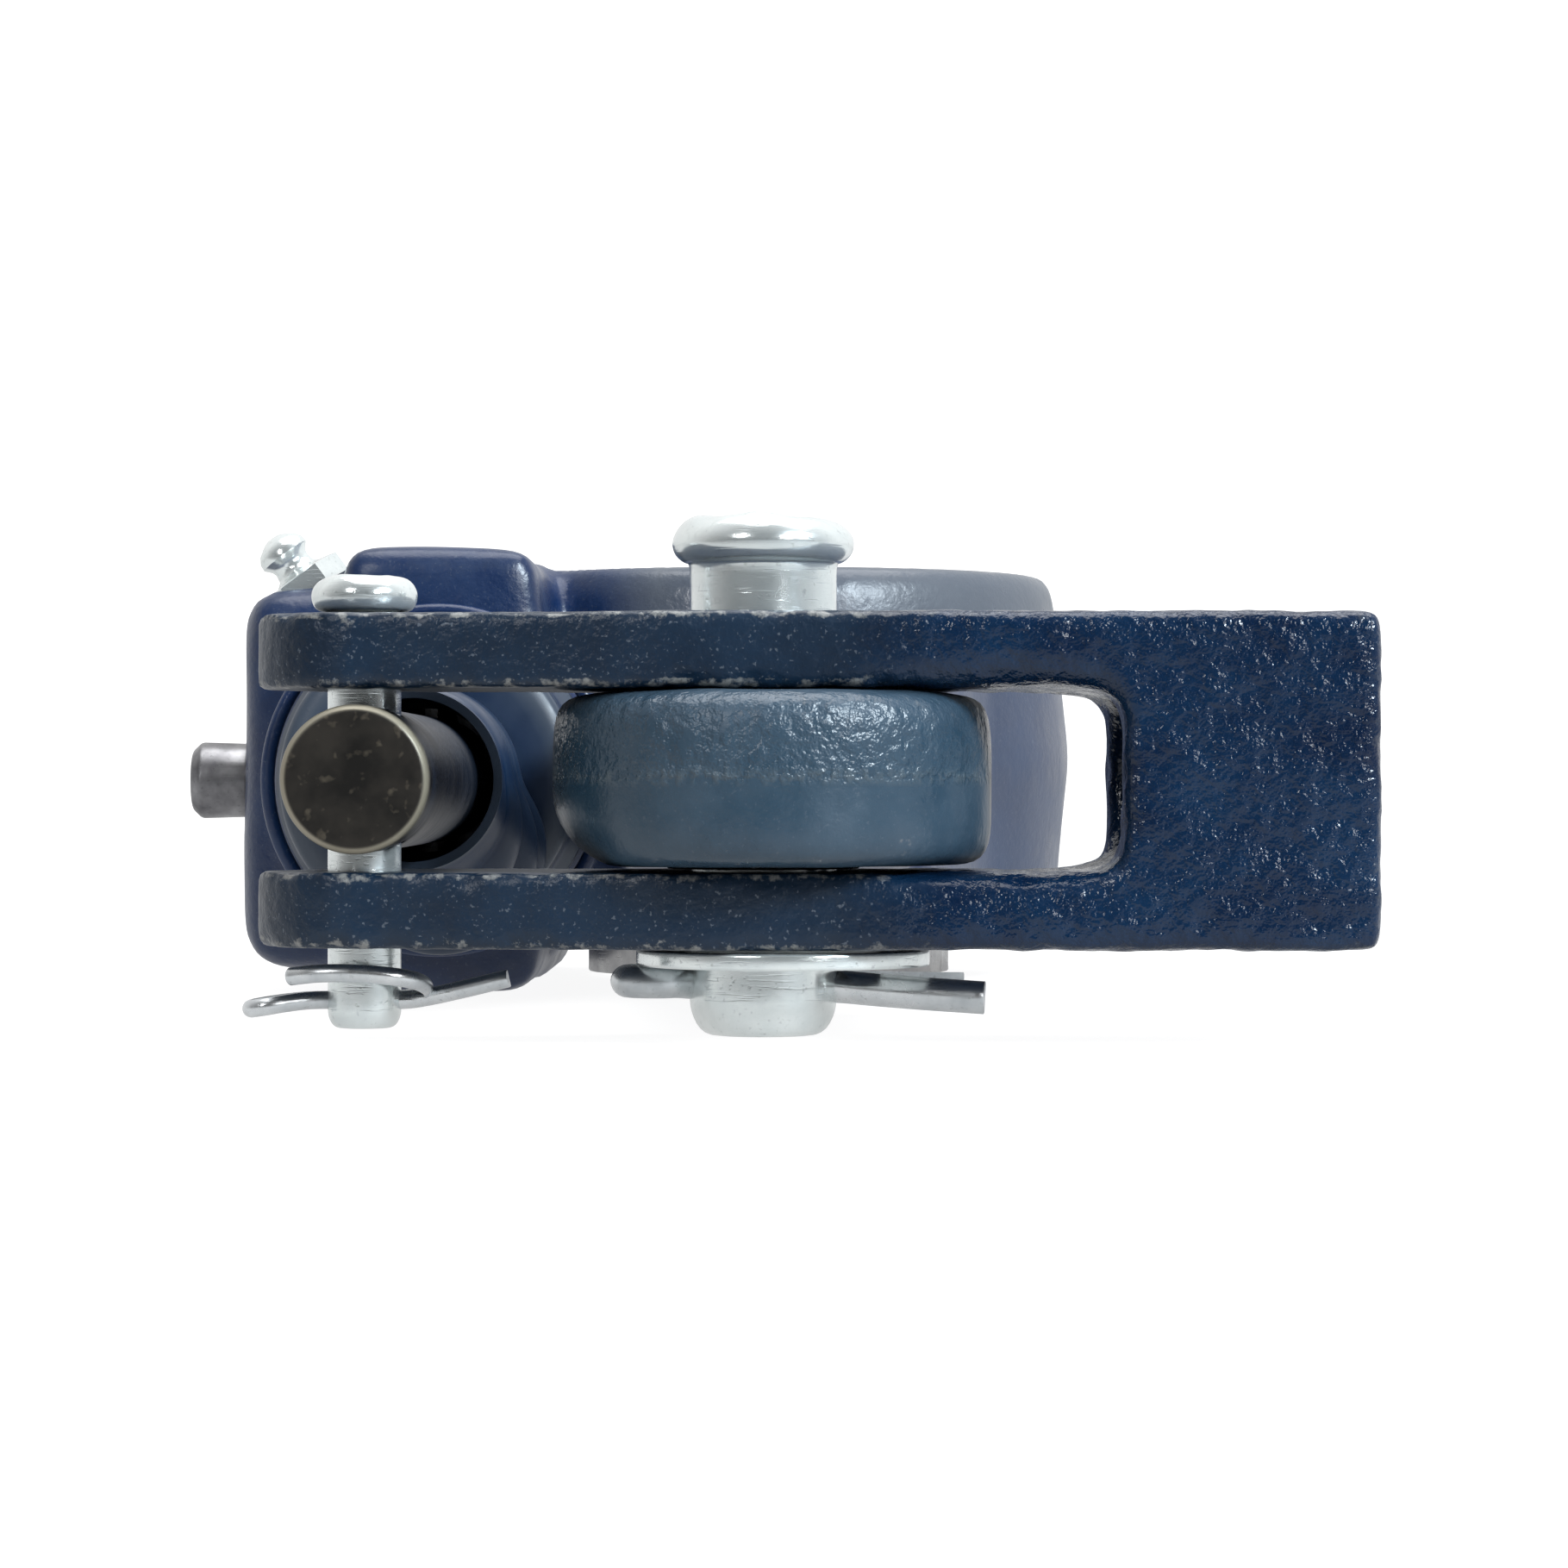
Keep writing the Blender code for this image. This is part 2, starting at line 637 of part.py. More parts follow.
def gear_washers():
    inner = HUB_RADIUS + TOUCH
    outer = GEAR_TIP - 0.6 * MM
    below, above = GEAR_LOW - TOUCH, GEAR_HIGH + TOUCH
    ring("gear_thrust_washer_lower", inner, outer, below - THRUST_THICKNESS, below, (0, 0, 0), "Z", steel())
    ring("gear_thrust_washer_upper", inner, outer, above, above + THRUST_THICKNESS, (0, 0, 0), "Z", steel())


def gear_cover():
    cover = ring(
        "gear_cover", HUB_RADIUS + TOUCH, COVER_RADIUS, COVER_LOW, COVER_HIGH, (0, 0, 0), "Z", zinc(), 40
    )
    groove = cylinder(
        "cover_seal_groove",
        SEAL_RADIUS + TOUCH,
        (0, 0, COVER_LOW + (COVER_THICKNESS - SEAL_HEIGHT) / 2 - TOUCH),
        (0, 0, COVER_HIGH - (COVER_THICKNESS - SEAL_HEIGHT) / 2 + TOUCH),
        sides=40,
    )
    cut(cover, groove)


def gear_seals():
    inner = HUB_RADIUS + TOUCH
    low = CAVITY_FLOOR - TOUCH * 3 - SEAL_HEIGHT
    high = COVER_LOW + (COVER_THICKNESS - SEAL_HEIGHT) / 2
    ring("gear_seal_lower", inner, SEAL_RADIUS, low, low + SEAL_HEIGHT, (0, 0, 0), "Z", rubber(), 40)
    ring("gear_seal_upper", inner, SEAL_RADIUS, high, high + SEAL_HEIGHT, (0, 0, 0), "Z", rubber(), 40)


def c_ring(name, inner, outer, low, high, base, axis, gap=24, gap_at=-90):
    """A flat snap ring whose gap is at an angle in degrees."""
    first, last = gap_at + gap / 2, gap_at + 360 - gap / 2
    outline = arc((0, 0), outer, first, last, 40) + arc((0, 0), inner, last, first, 40)
    return slab(name, outline, low, high, spring_steel(), axis=axis, base=base)


def worm():
    """Thread, journal, square wrench end and splined shank. The thread is a tube whose radius follows
    the thread's section, sheared along the axis so that its grid runs with the helix, and faced off
    flat at both ends."""
    around, per_lead = 24, 8
    rows = int(math.ceil((WORM_FRONT + WORM_BACK) / LEAD + 4) * per_lead)
    shape = bmesh.new()
    bmesh.ops.create_grid(shape, x_segments=around, y_segments=rows, size=0.5)
    for point in shape.verts:
        turn = point.co.x + 0.5
        row = round((point.co.y + 0.5) * rows)
        along_axis = (row / per_lead + turn - 1 - rows / per_lead / 2) * LEAD
        radius = thread_radius((row % per_lead) / per_lead)
        angle = -FULL_TURN * turn
        point.co = hub_point(along_axis) + radius * Vector((math.cos(angle), 0, math.sin(angle)))
    bmesh.ops.remove_doubles(shape, verts=shape.verts, dist=0.002 * MM)
    for face, outwards in ((-WORM_FRONT, -1), (WORM_BACK, 1)):
        bmesh.ops.bisect_plane(
            shape,
            geom=list(shape.verts) + list(shape.edges) + list(shape.faces),
            dist=0.01 * MM,
            plane_co=hub_point(face),
            plane_no=(0, outwards, 0),
            clear_outer=True,
        )
    bmesh.ops.holes_fill(shape, edges=[edge for edge in shape.edges if edge.is_boundary], sides=0)
    screw = from_bmesh("worm", shape, steel())
    journal = cylinder(
        "worm_journal", JOURNAL_RADIUS, hub_point(WORM_BACK - 2 * MM), hub_point(PLUG_FACE + TOUCH * 2)
    )
    half = WRENCH_FLATS / 2
    wrench = box(
        "wrench_end",
        (-PIN_SPACING - half, PLUG_FACE - MM, MID_Z - half),
        (-PIN_SPACING + half, BACK_END, MID_Z + half),
    )
    round_edges(wrench, 0.6 * MM, 2)
    shank = slab(
        "worm_shank",
        toothed(SHANK_SPLINES, SHANK_TIP - SHANK_TOOTH, SHANK_TIP, 0.4),
        -SHANK_END,
        -WORM_FRONT + 2 * MM,
        axis="Y",
        base=hub_point(0),
    )
    join(screw, journal, wrench, shank)


def thread_radius(phase):
    """Radius of the thread at a phase of its pitch: crest in the middle, root at both ends."""
    away = abs(phase - 0.5) * LEAD
    crest_half = LEAD / 4 - BACKLASH / 2 - MODULE * math.tan(PRESSURE_ANGLE)
    root_half = LEAD / 4 - BACKLASH / 2 + DEDENDUM * math.tan(PRESSURE_ANGLE)
    rise = min(max((root_half - away) / (root_half - crest_half), 0), 1)
    return WORM_ROOT + rise * (WORM_TIP - WORM_ROOT)


def worm_fittings():
    step = WORM_BACK + TOUCH
    ring("worm_thrust_washer", JOURNAL_RADIUS + TOUCH, WORM_RADIUS + 2 * TOUCH, step, step + WASHER_STEP,
         hub_point(0), "Y", steel(), 40)
    ring("worm_seal", JOURNAL_RADIUS + TOUCH, WORM_SEAL_RADIUS, PLUG_FACE - TOUCH - WORM_SEAL_LENGTH,
         PLUG_FACE - TOUCH, hub_point(0), "Y", rubber(), 40)
    front = -WORM_FRONT - TOUCH
    c_ring("worm_snap_ring", SLEEVE_TIP + TOUCH, WORM_BORE + RETAINER_BITE, front - RETAINER_THICKNESS,
           front, hub_point(0), "Y", gap=84, gap_at=0)


# ---------------------------------------------------------------- sleeve, piston and rod


def adjusting_sleeve():
    sleeve = slab(
        "adjusting_sleeve",
        toothed(SLEEVE_TEETH, SLEEVE_TIP - SLEEVE_TOOTH, SLEEVE_TIP, 0.3),
        -SLEEVE_FRONT,
        -SLEEVE_BACK,
        steel(),
        axis="Y",
        base=hub_point(0),
    )
    neck = cylinder(
        "sleeve_neck", SLEEVE_NECK, hub_point(-SLEEVE_FRONT - NECK_LENGTH), hub_point(-SLEEVE_FRONT + MM)
    )
    splines = slab(
        "sleeve_splines",
        toothed(SHANK_SPLINES, SHANK_TIP - SHANK_TOOTH + TOUCH, SHANK_TIP + TOUCH, 0.48),
        -SLEEVE_FRONT - NECK_LENGTH - MM,
        -SLEEVE_BACK + MM,
        axis="Y",
        base=hub_point(0),
    )
    middle = -SLEEVE_FRONT - NECK_LENGTH / 2
    half = RING_WIRE / 2 + TOUCH
    groove = ring(
        "neck_groove", SLEEVE_NECK - 0.8 * MM, SLEEVE_NECK + MM, middle - half, middle + half,
        hub_point(0), "Y", None, 40,
    )
    join(sleeve, neck)
    cut(sleeve, splines, groove)


def piston():
    """Cup over the sleeve's neck at its back, socket for the rod at its front."""
    back = -SLEEVE_FRONT - TOUCH
    body = cylinder("piston", WORM_BORE - TOUCH, hub_point(-PISTON_FRONT), hub_point(back), steel())
    cup_end = -SLEEVE_FRONT - NECK_LENGTH - TOUCH
    middle = -SLEEVE_FRONT - NECK_LENGTH / 2
    half = RING_WIRE / 2 + TOUCH
    socket = ROD_RADIUS + SWING_ROOM + 0.4 * MM
    cut(
        body,
        cylinder("piston_cup", SLEEVE_NECK + TOUCH, hub_point(cup_end), hub_point(back + MM)),
        cylinder("cup_groove", SLEEVE_NECK + 0.9 * MM, hub_point(middle - half), hub_point(middle + half)),
        cylinder("rod_socket", socket, hub_point(-PISTON_FRONT - MM), hub_point(-ROD_BACK + 0.4 * MM)),
        cylinder(
            "cross_bore",
            CROSS_PIN_RADIUS + TOUCH,
            hub_point(-CROSS_PIN_AT, z=MID_Z - 20 * MM),
            hub_point(-CROSS_PIN_AT, z=MID_Z + 20 * MM),
            sides=24,
        ),
    )
    reach = WORM_BORE - 1.4 * MM
    cylinder(
        "piston_cross_pin",
        CROSS_PIN_RADIUS,
        hub_point(-CROSS_PIN_AT, z=MID_Z - reach),
        hub_point(-CROSS_PIN_AT, z=MID_Z + reach),
        steel(),
        sides=24,
    )
    radius = SLEEVE_NECK + 0.05 * MM
    loop = arc((0, 0), radius, -80, 260, 30)
    wire(
        "piston_retaining_ring",
        [(-PIN_SPACING + x, middle, MID_Z + z) for x, z in loop],
        RING_WIRE / 2,
        spring_steel(),
    )


def actuator_rod():
    front = -ARM_LENGTH - ROD_OVERHANG
    chamfer = 0.7 * MM
    profile = [(0, -ROD_BACK), (ROD_RADIUS - chamfer, -ROD_BACK), (ROD_RADIUS, -ROD_BACK - chamfer)]
    profile += [(ROD_RADIUS, front + chamfer), (ROD_RADIUS - chamfer, front), (0, front)]
    rod = turned("actuator_rod", profile, hub_point(0), "Y", black_oxide(), 40)
    pin_hole = cylinder(
        "rod_pin_hole",
        SMALL_PIN_RADIUS + TOUCH,
        SMALL_PIN - Vector((0, 0, 20 * MM)),
        SMALL_PIN + Vector((0, 0, 20 * MM)),
        sides=24,
    )
    lower_hole = cylinder(
        "rod_lower_hole",
        CROSS_PIN_RADIUS + SWING_ROOM + TOUCH,
        hub_point(-CROSS_PIN_AT, z=MID_Z - 20 * MM),
        hub_point(-CROSS_PIN_AT, z=MID_Z + 20 * MM),
        sides=24,
    )
    cut(rod, pin_hole, lower_hole)


def boot_outline():
    """Inner line of the boot as (radius, height) from the collar to the lip, towards -Y."""
    clear = WORM_BORE + 0.6 * MM
    start = -COLLAR_FRONT - 0.8 * MM
    inner = [(COLLAR_RADIUS + TOUCH, -BARREL_FRONT - 0.5 * MM), (COLLAR_RADIUS + TOUCH, start)]
    for fold in range(BOOT_FOLDS):
        base = start - fold * BOOT_FOLD
        inner.append((clear, base - BOOT_FOLD * 0.5))
        inner.append((clear + BOOT_DEPTH, base - BOOT_FOLD))
    end = start - BOOT_FOLDS * BOOT_FOLD
    lip = ROD_RADIUS + TOUCH + SWING_ROOM
    inner.append((lip, end - BOOT_CONE))
    inner.append((lip, end - BOOT_CONE - BOOT_LIP))
    return inner


def boot():
    inner = boot_outline()
    outer = [(radius + BOOT_WALL, height) for radius, height in inner]
    outer[-1] = (inner[-1][0] + BOOT_WALL * 0.8, inner[-1][1])
    turned("boot", outer + inner[::-1], hub_point(0), "Y", rubber(), 32, ring=True)
    middle = -BARREL_FRONT - 0.5 * MM - 2.4 * MM
    radius = COLLAR_RADIUS + TOUCH + BOOT_WALL + TOUCH + CLAMP_WIRE / 2
    loop = arc((0, 0), radius, 0, 360, 40)[:-1]
    wire(
        "boot_clamp",
        [(-PIN_SPACING + x, middle, MID_Z + z) for x, z in loop],
        CLAMP_WIRE / 2,
        zinc(),
        closed=True,
    )


# ---------------------------------------------------------------- pawl and grease fitting


def pawl_point(x):
    return Vector((x, -PAWL_AT, MID_Z))


def pawl():
    """Toothed plunger on a stem, with the pull button at the stem's outer end."""
    nose = -PIN_SPACING - SLEEVE_TIP - TOUCH
    shoulder = nose - PAWL_BODY
    plunger = cylinder("pawl", PAWL_RADIUS, pawl_point(nose), pawl_point(shoulder), steel(), 32)
    serration = cylinder(
        "pawl_nose_cut",
        SLEEVE_TIP + TOUCH,
        hub_point(-PAWL_AT - 8 * MM),
        hub_point(-PAWL_AT + 8 * MM),
        sides=48,
    )
    stem_end = -BOSS_FACE - BUTTON_LENGTH / 2
    stem = cylinder("pawl_stem", PAWL_STEM, pawl_point(shoulder + MM), pawl_point(stem_end), sides=24)
    outer = BOSS_FACE + TOUCH
    chamfer = 0.8 * MM
    profile = [(0, -outer), (BUTTON_RADIUS, -outer), (BUTTON_RADIUS, -BUTTON_END + chamfer)]
    profile += [(BUTTON_RADIUS - chamfer, -BUTTON_END), (0, -BUTTON_END)]
    button = turned("pawl_button", profile, pawl_point(0), "X", None, 32)
    join(plunger, stem, button)
    cut(plunger, serration)
    return shoulder


def pawl_cap():
    face = -BOSS_FACE
    low, high = face, face + CAP_LENGTH
    loop = [(CAP_RADIUS, high), (CAP_RADIUS, low), (PAWL_STEM + TOUCH, low), (PAWL_STEM + TOUCH, high)]
    turned("pawl_cap", loop, pawl_point(0), "X", zinc(), 32, ring=True)
    return high


def pawl_spring(shoulder, seat):
    start = seat + TOUCH + SPRING_WIRE / 2
    length = shoulder - TOUCH - SPRING_WIRE / 2 - start
    radius = (PAWL_STEM + PAWL_RADIUS) / 2
    steps = 14 * SPRING_TURNS
    points = []
    for i in range(steps + 1):
        angle = FULL_TURN * SPRING_TURNS * i / steps
        x = start + length * i / steps
        points.append((x, -PAWL_AT + radius * math.cos(angle), MID_Z + radius * math.sin(angle)))
    wire("pawl_spring", points, SPRING_WIRE / 2, spring_steel())


def fitting_point(out):
    """A point on the grease fitting's axis, out from just under the pawl boss's top."""
    top = MID_Z + TOUCH + BOSS_HALF_HEIGHT
    start = Vector((-BOSS_FACE + FITTING_AT, -PAWL_AT - 5 * MM, top - FITTING_SEAT))
    direction = Vector((-math.cos(FITTING_TILT), 0, math.sin(FITTING_TILT)))
    return start + direction * out


def grease_fitting():
    seat = FITTING_SEAT + TOUCH
    hex_top = seat + 2.8 * MM
    thread = cylinder(
        "grease_fitting", FITTING_HOLE, fitting_point(-8 * MM), fitting_point(seat + MM), zinc(), 20
    )
    hexagon = cylinder(
        "fitting_hex", FITTING_HEX / math.sqrt(3), fitting_point(seat), fitting_point(hex_top), sides=6
    )
    neck = cylinder(
        "fitting_neck", 2.4 * MM, fitting_point(hex_top - MM), fitting_point(hex_top + 2.5 * MM), sides=20,
        end_radius=2 * MM,
    )
    head = cylinder(
        "fitting_head", 3.2 * MM, fitting_point(hex_top + 2 * MM), fitting_point(FITTING_LENGTH), sides=20,
        end_radius=2.4 * MM,
    )
    join(thread, hexagon, neck, head)


# ---------------------------------------------------------------- clevis and its pins


def clevis_outline():
    """Plan of the fork: round small end, straight flanks to the waist, then the block."""
    x, y = LARGE_PIN.x, LARGE_PIN.y
    block = [
        (x + BLOCK_TO, y + BLOCK_HALF),
        (x + BLOCK_FROM - 6 * MM, y + BLOCK_HALF),
        (x + 6 * MM, y + CLEVIS_WAIST),
        (x - 8 * MM, y + CLEVIS_WAIST),
    ]
    end = arc((SMALL_PIN.x, SMALL_PIN.y), CLEVIS_SMALL_END, 80, 280, 14)
    mirrored = [(px, 2 * y - py) for px, py in reversed(block)]
    return block + end + mirrored


def clevis():
    fork = slab("clevis", clevis_outline(), CLEVIS_FOOT, CLEVIS_TOP, paint())
    round_edges(fork, 1.0 * MM, 2, 60)
    mouth = LARGE_PIN.x - PIN_SPACING - CLEVIS_SMALL_END - 5 * MM
    slot = box(
        "clevis_slot",
        (mouth, -ARM_LENGTH - 30 * MM, CLEVIS_MID - CLEVIS_GAP / 2),
        (LARGE_PIN.x + BLOCK_FROM, -ARM_LENGTH + 30 * MM, CLEVIS_MID + CLEVIS_GAP / 2),
    )
    round_edges(slot, SLOT_CORNER, 3)
    large = cylinder(
        "large_pin_bore", PIN_RADIUS + TOUCH, (0, -ARM_LENGTH, -MM), (0, -ARM_LENGTH, 60 * MM)
    )
    small = cylinder(
        "small_pin_bore",
        SMALL_PIN_RADIUS + TOUCH,
        (SMALL_PIN.x, SMALL_PIN.y, -MM),
        (SMALL_PIN.x, SMALL_PIN.y, 60 * MM),
        sides=24,
    )
    thread = cylinder(
        "push_rod_thread",
        THREAD_RADIUS,
        (LARGE_PIN.x + BLOCK_FROM - 4 * MM, -ARM_LENGTH, CLEVIS_MID),
        (LARGE_PIN.x + BLOCK_TO + MM, -ARM_LENGTH, CLEVIS_MID),
    )
    cut(fork, slot, large, small, thread)


def headed_pin(name, place, radius, head_radius, head, foot, shoulder, hole_z, hole_radius, dimple):
    """A headed pin with a domed, dimpled head, a bevelled tip and a split-pin hole along X."""
    tip = radius * 0.22
    dome = head * 0.3
    profile = [(0, shoulder + head - dimple), (radius * 0.5, shoulder + head - dimple * 0.4)]
    profile += [(radius * 0.75, shoulder + head), (head_radius - dome, shoulder + head - dome * 0.3)]
    profile += [(head_radius, shoulder + head - dome * 1.4), (head_radius, shoulder + dome * 0.3)]
    profile += [(head_radius - dome * 0.3, shoulder), (radius, shoulder), (radius, foot + tip * 1.4)]
    profile += [(radius - tip, foot), (0, foot)]
    base = (place.x, place.y, 0)
    pin = turned(name, profile, base, "Z", zinc(), 40)
    hole = cylinder(
        name + "_hole",
        hole_radius,
        (place.x - head_radius * 2, place.y, hole_z),
        (place.x + head_radius * 2, place.y, hole_z),
        sides=20,
    )
    cut(pin, hole)


def split_pin(name, place, z, gauge, eye_reach, flat, legs):
    """One folded wire: two legs through the pin, an eye at -X and the leg ends bent apart at +X.
    The eye lies flat or stands upright. Each leg is a list of (x, y, z) from the hole's middle."""
    half = gauge * 0.53
    eye = 1.6 * gauge
    across = Vector((0, 1, 0)) if flat else Vector((0, 0, 1))
    middle = Vector((place.x, place.y, z))
    centre = middle - Vector((eye_reach - eye, 0, 0))
    angles = [math.radians(35 + (325 - 35) * i / 14) for i in range(15)]
    loop = [centre + Vector((eye * math.cos(a), 0, 0)) + across * eye * math.sin(a) for a in angles]
    neck = middle - Vector((eye_reach - 2.9 * eye, 0, 0))
    first, second = [[middle + Vector(point) for point in leg] for leg in legs]
    points = first[::-1] + [neck + across * half] + loop + [neck - across * half] + second
    wire(name, points, gauge / 2, zinc())


def clevis_pins():
    headed_pin(
        "large_clevis_pin", LARGE_PIN, PIN_RADIUS, PIN_RADIUS + PIN_RIM, PIN_HEAD,
        PIN_FOOT, PIN_SHOULDER, COTTER_Z, COTTER_WIRE * 1.03 + TOUCH, 0.5 * MM,
    )
    headed_pin(
        "small_clevis_pin", SMALL_PIN, SMALL_PIN_RADIUS, SMALL_PIN_RADIUS + SMALL_PIN_RIM, SMALL_PIN_HEAD,
        SMALL_PIN_FOOT, SMALL_PIN_SHOULDER, SMALL_COTTER_Z, SMALL_COTTER_WIRE * 1.03 + TOUCH, 0.2 * MM,
    )
    ring(
        "large_pin_washer", PIN_RADIUS + 2 * TOUCH, PIN_RADIUS + WASHER_RIM,
        CLEVIS_FOOT - TOUCH - WASHER_THICKNESS, CLEVIS_FOOT - TOUCH, (0, -ARM_LENGTH, 0), "Z", zinc(),
    )
    half = COTTER_WIRE * 0.53
    out = PIN_RADIUS + 2 * MM
    straight = [(out, half, 0), (out + 4 * MM, 1.4 * MM, 0), (out + 10 * MM, 3 * MM, 0.3 * MM)]
    drooping = [(out, -half, 0), (out + 4 * MM, -1.6 * MM, -0.4 * MM), (out + 9 * MM, -3 * MM, -MM)]
    split_pin(
        "large_pin_cotter", LARGE_PIN, COTTER_Z, COTTER_WIRE, 12.6 * MM, True, (straight, drooping)
    )
    half = SMALL_COTTER_WIRE * 0.53
    out = SMALL_PIN_RADIUS + 1.6 * MM
    wrapped = [(out, 0, half), (out + MM, -1.6 * MM, half + 0.6 * MM), (out, -4 * MM, half + 1.6 * MM)]
    raised = [(out, 0, -half), (out + 3 * MM, 0.6 * MM, -half + 0.3 * MM)]
    raised.append((out + 7.6 * MM, 1.5 * MM, -half + MM))
    split_pin(
        "small_pin_cotter", SMALL_PIN, SMALL_COTTER_Z, SMALL_COTTER_WIRE, 9.4 * MM, False,
        (wrapped, raised),
    )


# ---------------------------------------------------------------- assembly


def empty(name, place, parent=None):
    made = bpy.data.objects.new(name, None)
    made.empty_display_size = 10 * MM
    PARTS.objects.link(made)
    made.location = place - (parent.location if parent else Vector())
    made.parent = parent
    return made


def assemble():
    """Hangs each moving group on an empty on its joint's axis, and those on the frame's empty."""
    frame = empty("adjuster_frame", Vector())
    groups = {
        "clevis_axis": (
            LARGE_PIN,
            ["clevis", "large_clevis_pin", "large_pin_washer", "large_pin_cotter", "small_clevis_pin",
             "small_pin_cotter"],
        ),
        "rod_axis": (SMALL_PIN, ["actuator_rod"]),
        "piston_axis": (hub_point(-PISTON_FRONT), ["piston", "piston_cross_pin", "piston_retaining_ring"]),
        "sleeve_axis": (hub_point(-SLEEVE_FRONT), ["adjusting_sleeve"]),
        "worm_axis": (hub_point(0), ["worm"]),
        "gear_axis": (Vector((0, 0, MID_Z)), ["worm_gear"]),
        "pawl_axis": (pawl_point(-BOSS_FACE), ["pawl"]),
    }
    placed = set()
    for name, (place, members) in groups.items():
        axis = empty(name, place, frame)
        for member in members:
            obj = bpy.data.objects[member]
            obj.parent = axis
            obj.location = -place
            placed.add(member)
    for obj in list(PARTS.objects) + list(CUTTERS.objects):
        if obj.type == "MESH" and obj.name not in placed:
            obj.parent = frame
    frame.location = -FOOTPRINT_MIDDLE
    bpy.context.view_layer.update()


def main():
    global PARTS, CUTTERS
    clear_scene()
    PARTS = new_collection("automatic_slack_adjuster")
    CUTTERS = new_collection("cutters")
    CUTTERS.hide_render = True
    housing()
    arm_bushing()
    worm_gear()
    gear_washers()
    gear_cover()
    gear_seals()
    c_ring("gear_snap_ring", COVER_RADIUS - SNAP_WIDTH, COVER_RADIUS + SNAP_BITE, SNAP_LOW,
           SNAP_LOW + SNAP_THICKNESS, (0, 0, 0), "Z")
    worm()
    worm_fittings()
    adjusting_sleeve()
    piston()
    actuator_rod()
    boot()
    shoulder = pawl()
    seat = pawl_cap()
    pawl_spring(shoulder, seat)
    grease_fitting()
    clevis()
    clevis_pins()
    assemble()


main()
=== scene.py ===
"""Automatic slack adjuster with clevis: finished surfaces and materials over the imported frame."""

import math

import bmesh
import bpy
import numpy as np
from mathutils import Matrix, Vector


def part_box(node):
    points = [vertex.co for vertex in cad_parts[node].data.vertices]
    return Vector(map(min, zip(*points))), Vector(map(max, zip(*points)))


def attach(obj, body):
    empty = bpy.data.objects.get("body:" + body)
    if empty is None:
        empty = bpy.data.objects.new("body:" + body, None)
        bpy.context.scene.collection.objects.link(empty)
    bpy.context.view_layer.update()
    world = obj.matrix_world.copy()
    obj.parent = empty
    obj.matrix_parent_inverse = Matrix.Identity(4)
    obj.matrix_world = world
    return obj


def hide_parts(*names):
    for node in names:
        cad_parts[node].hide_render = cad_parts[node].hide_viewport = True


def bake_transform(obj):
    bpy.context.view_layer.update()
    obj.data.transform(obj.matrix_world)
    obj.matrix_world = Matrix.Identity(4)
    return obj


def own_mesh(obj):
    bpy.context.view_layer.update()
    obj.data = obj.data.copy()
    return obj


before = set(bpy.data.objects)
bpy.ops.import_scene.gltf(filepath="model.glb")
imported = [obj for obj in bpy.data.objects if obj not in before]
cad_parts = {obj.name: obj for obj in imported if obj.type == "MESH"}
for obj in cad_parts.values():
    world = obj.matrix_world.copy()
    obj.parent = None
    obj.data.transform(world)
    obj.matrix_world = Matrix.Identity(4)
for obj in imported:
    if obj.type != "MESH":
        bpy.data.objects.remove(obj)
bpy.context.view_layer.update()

MM = 0.001

# ---------------------------------------------------------------- the view and the light tent
# The adjuster lies on a white table and is seen along its arm from the clevis end, level with the
# middle of the eye. White walls all round give the dark paint its grey edges, and the side behind
# the camera is darker, so that faces towards it stay deep.

pin_low, pin_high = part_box("large_clevis_pin")
PIN = (pin_low + pin_high) / 2
VIEW_DISTANCE = 400 * MM
VIEW_WIDTH = 135.7 * MM
VIEW_ASIDE = 1.8 * MM
VIEW_HEIGHT = 22.0 * MM

lens = bpy.data.cameras.new("camera")
lens.sensor_width = 36
lens.lens = 36 * VIEW_DISTANCE / VIEW_WIDTH
lens.clip_start = 0.01
camera = bpy.data.objects.new("camera", lens)
bpy.context.scene.collection.objects.link(camera)
camera.location = (PIN.x + VIEW_ASIDE, PIN.y - VIEW_DISTANCE, VIEW_HEIGHT)
camera.rotation_euler = (math.pi / 2, 0, 0)
bpy.context.scene.camera = camera


def area_light(name, place, aim, size, watts, colour=(1, 1, 1)):
    light = bpy.data.lights.new(name, "AREA")
    light.shape = "RECTANGLE"
    light.size, light.size_y = size
    light.energy = watts
    light.color = colour
    obj = bpy.data.objects.new(name, light)
    bpy.context.scene.collection.objects.link(obj)
    obj.location = place
    obj.rotation_euler = (Vector(aim) - Vector(place)).to_track_quat("-Z", "Y").to_euler()
    return obj


area_light("top_softbox", (0.05, 0.0, 0.7), (0, -0.02, 0.02), (0.6, 0.7), 5)
area_light("front_left_lamp", (-0.4, -0.8, 0.42), (0, -0.08, 0.02), (0.14, 0.2), 1.6)
area_light("front_right_lamp", (0.42, -0.75, 0.3), (0.02, -0.08, 0.02), (0.1, 0.24), 1.2)
area_light("high_right_lamp", (0.5, -0.5, 0.4), (0.05, -0.1, 0.02), (0.16, 0.16), 7, (0.8, 0.92, 1))

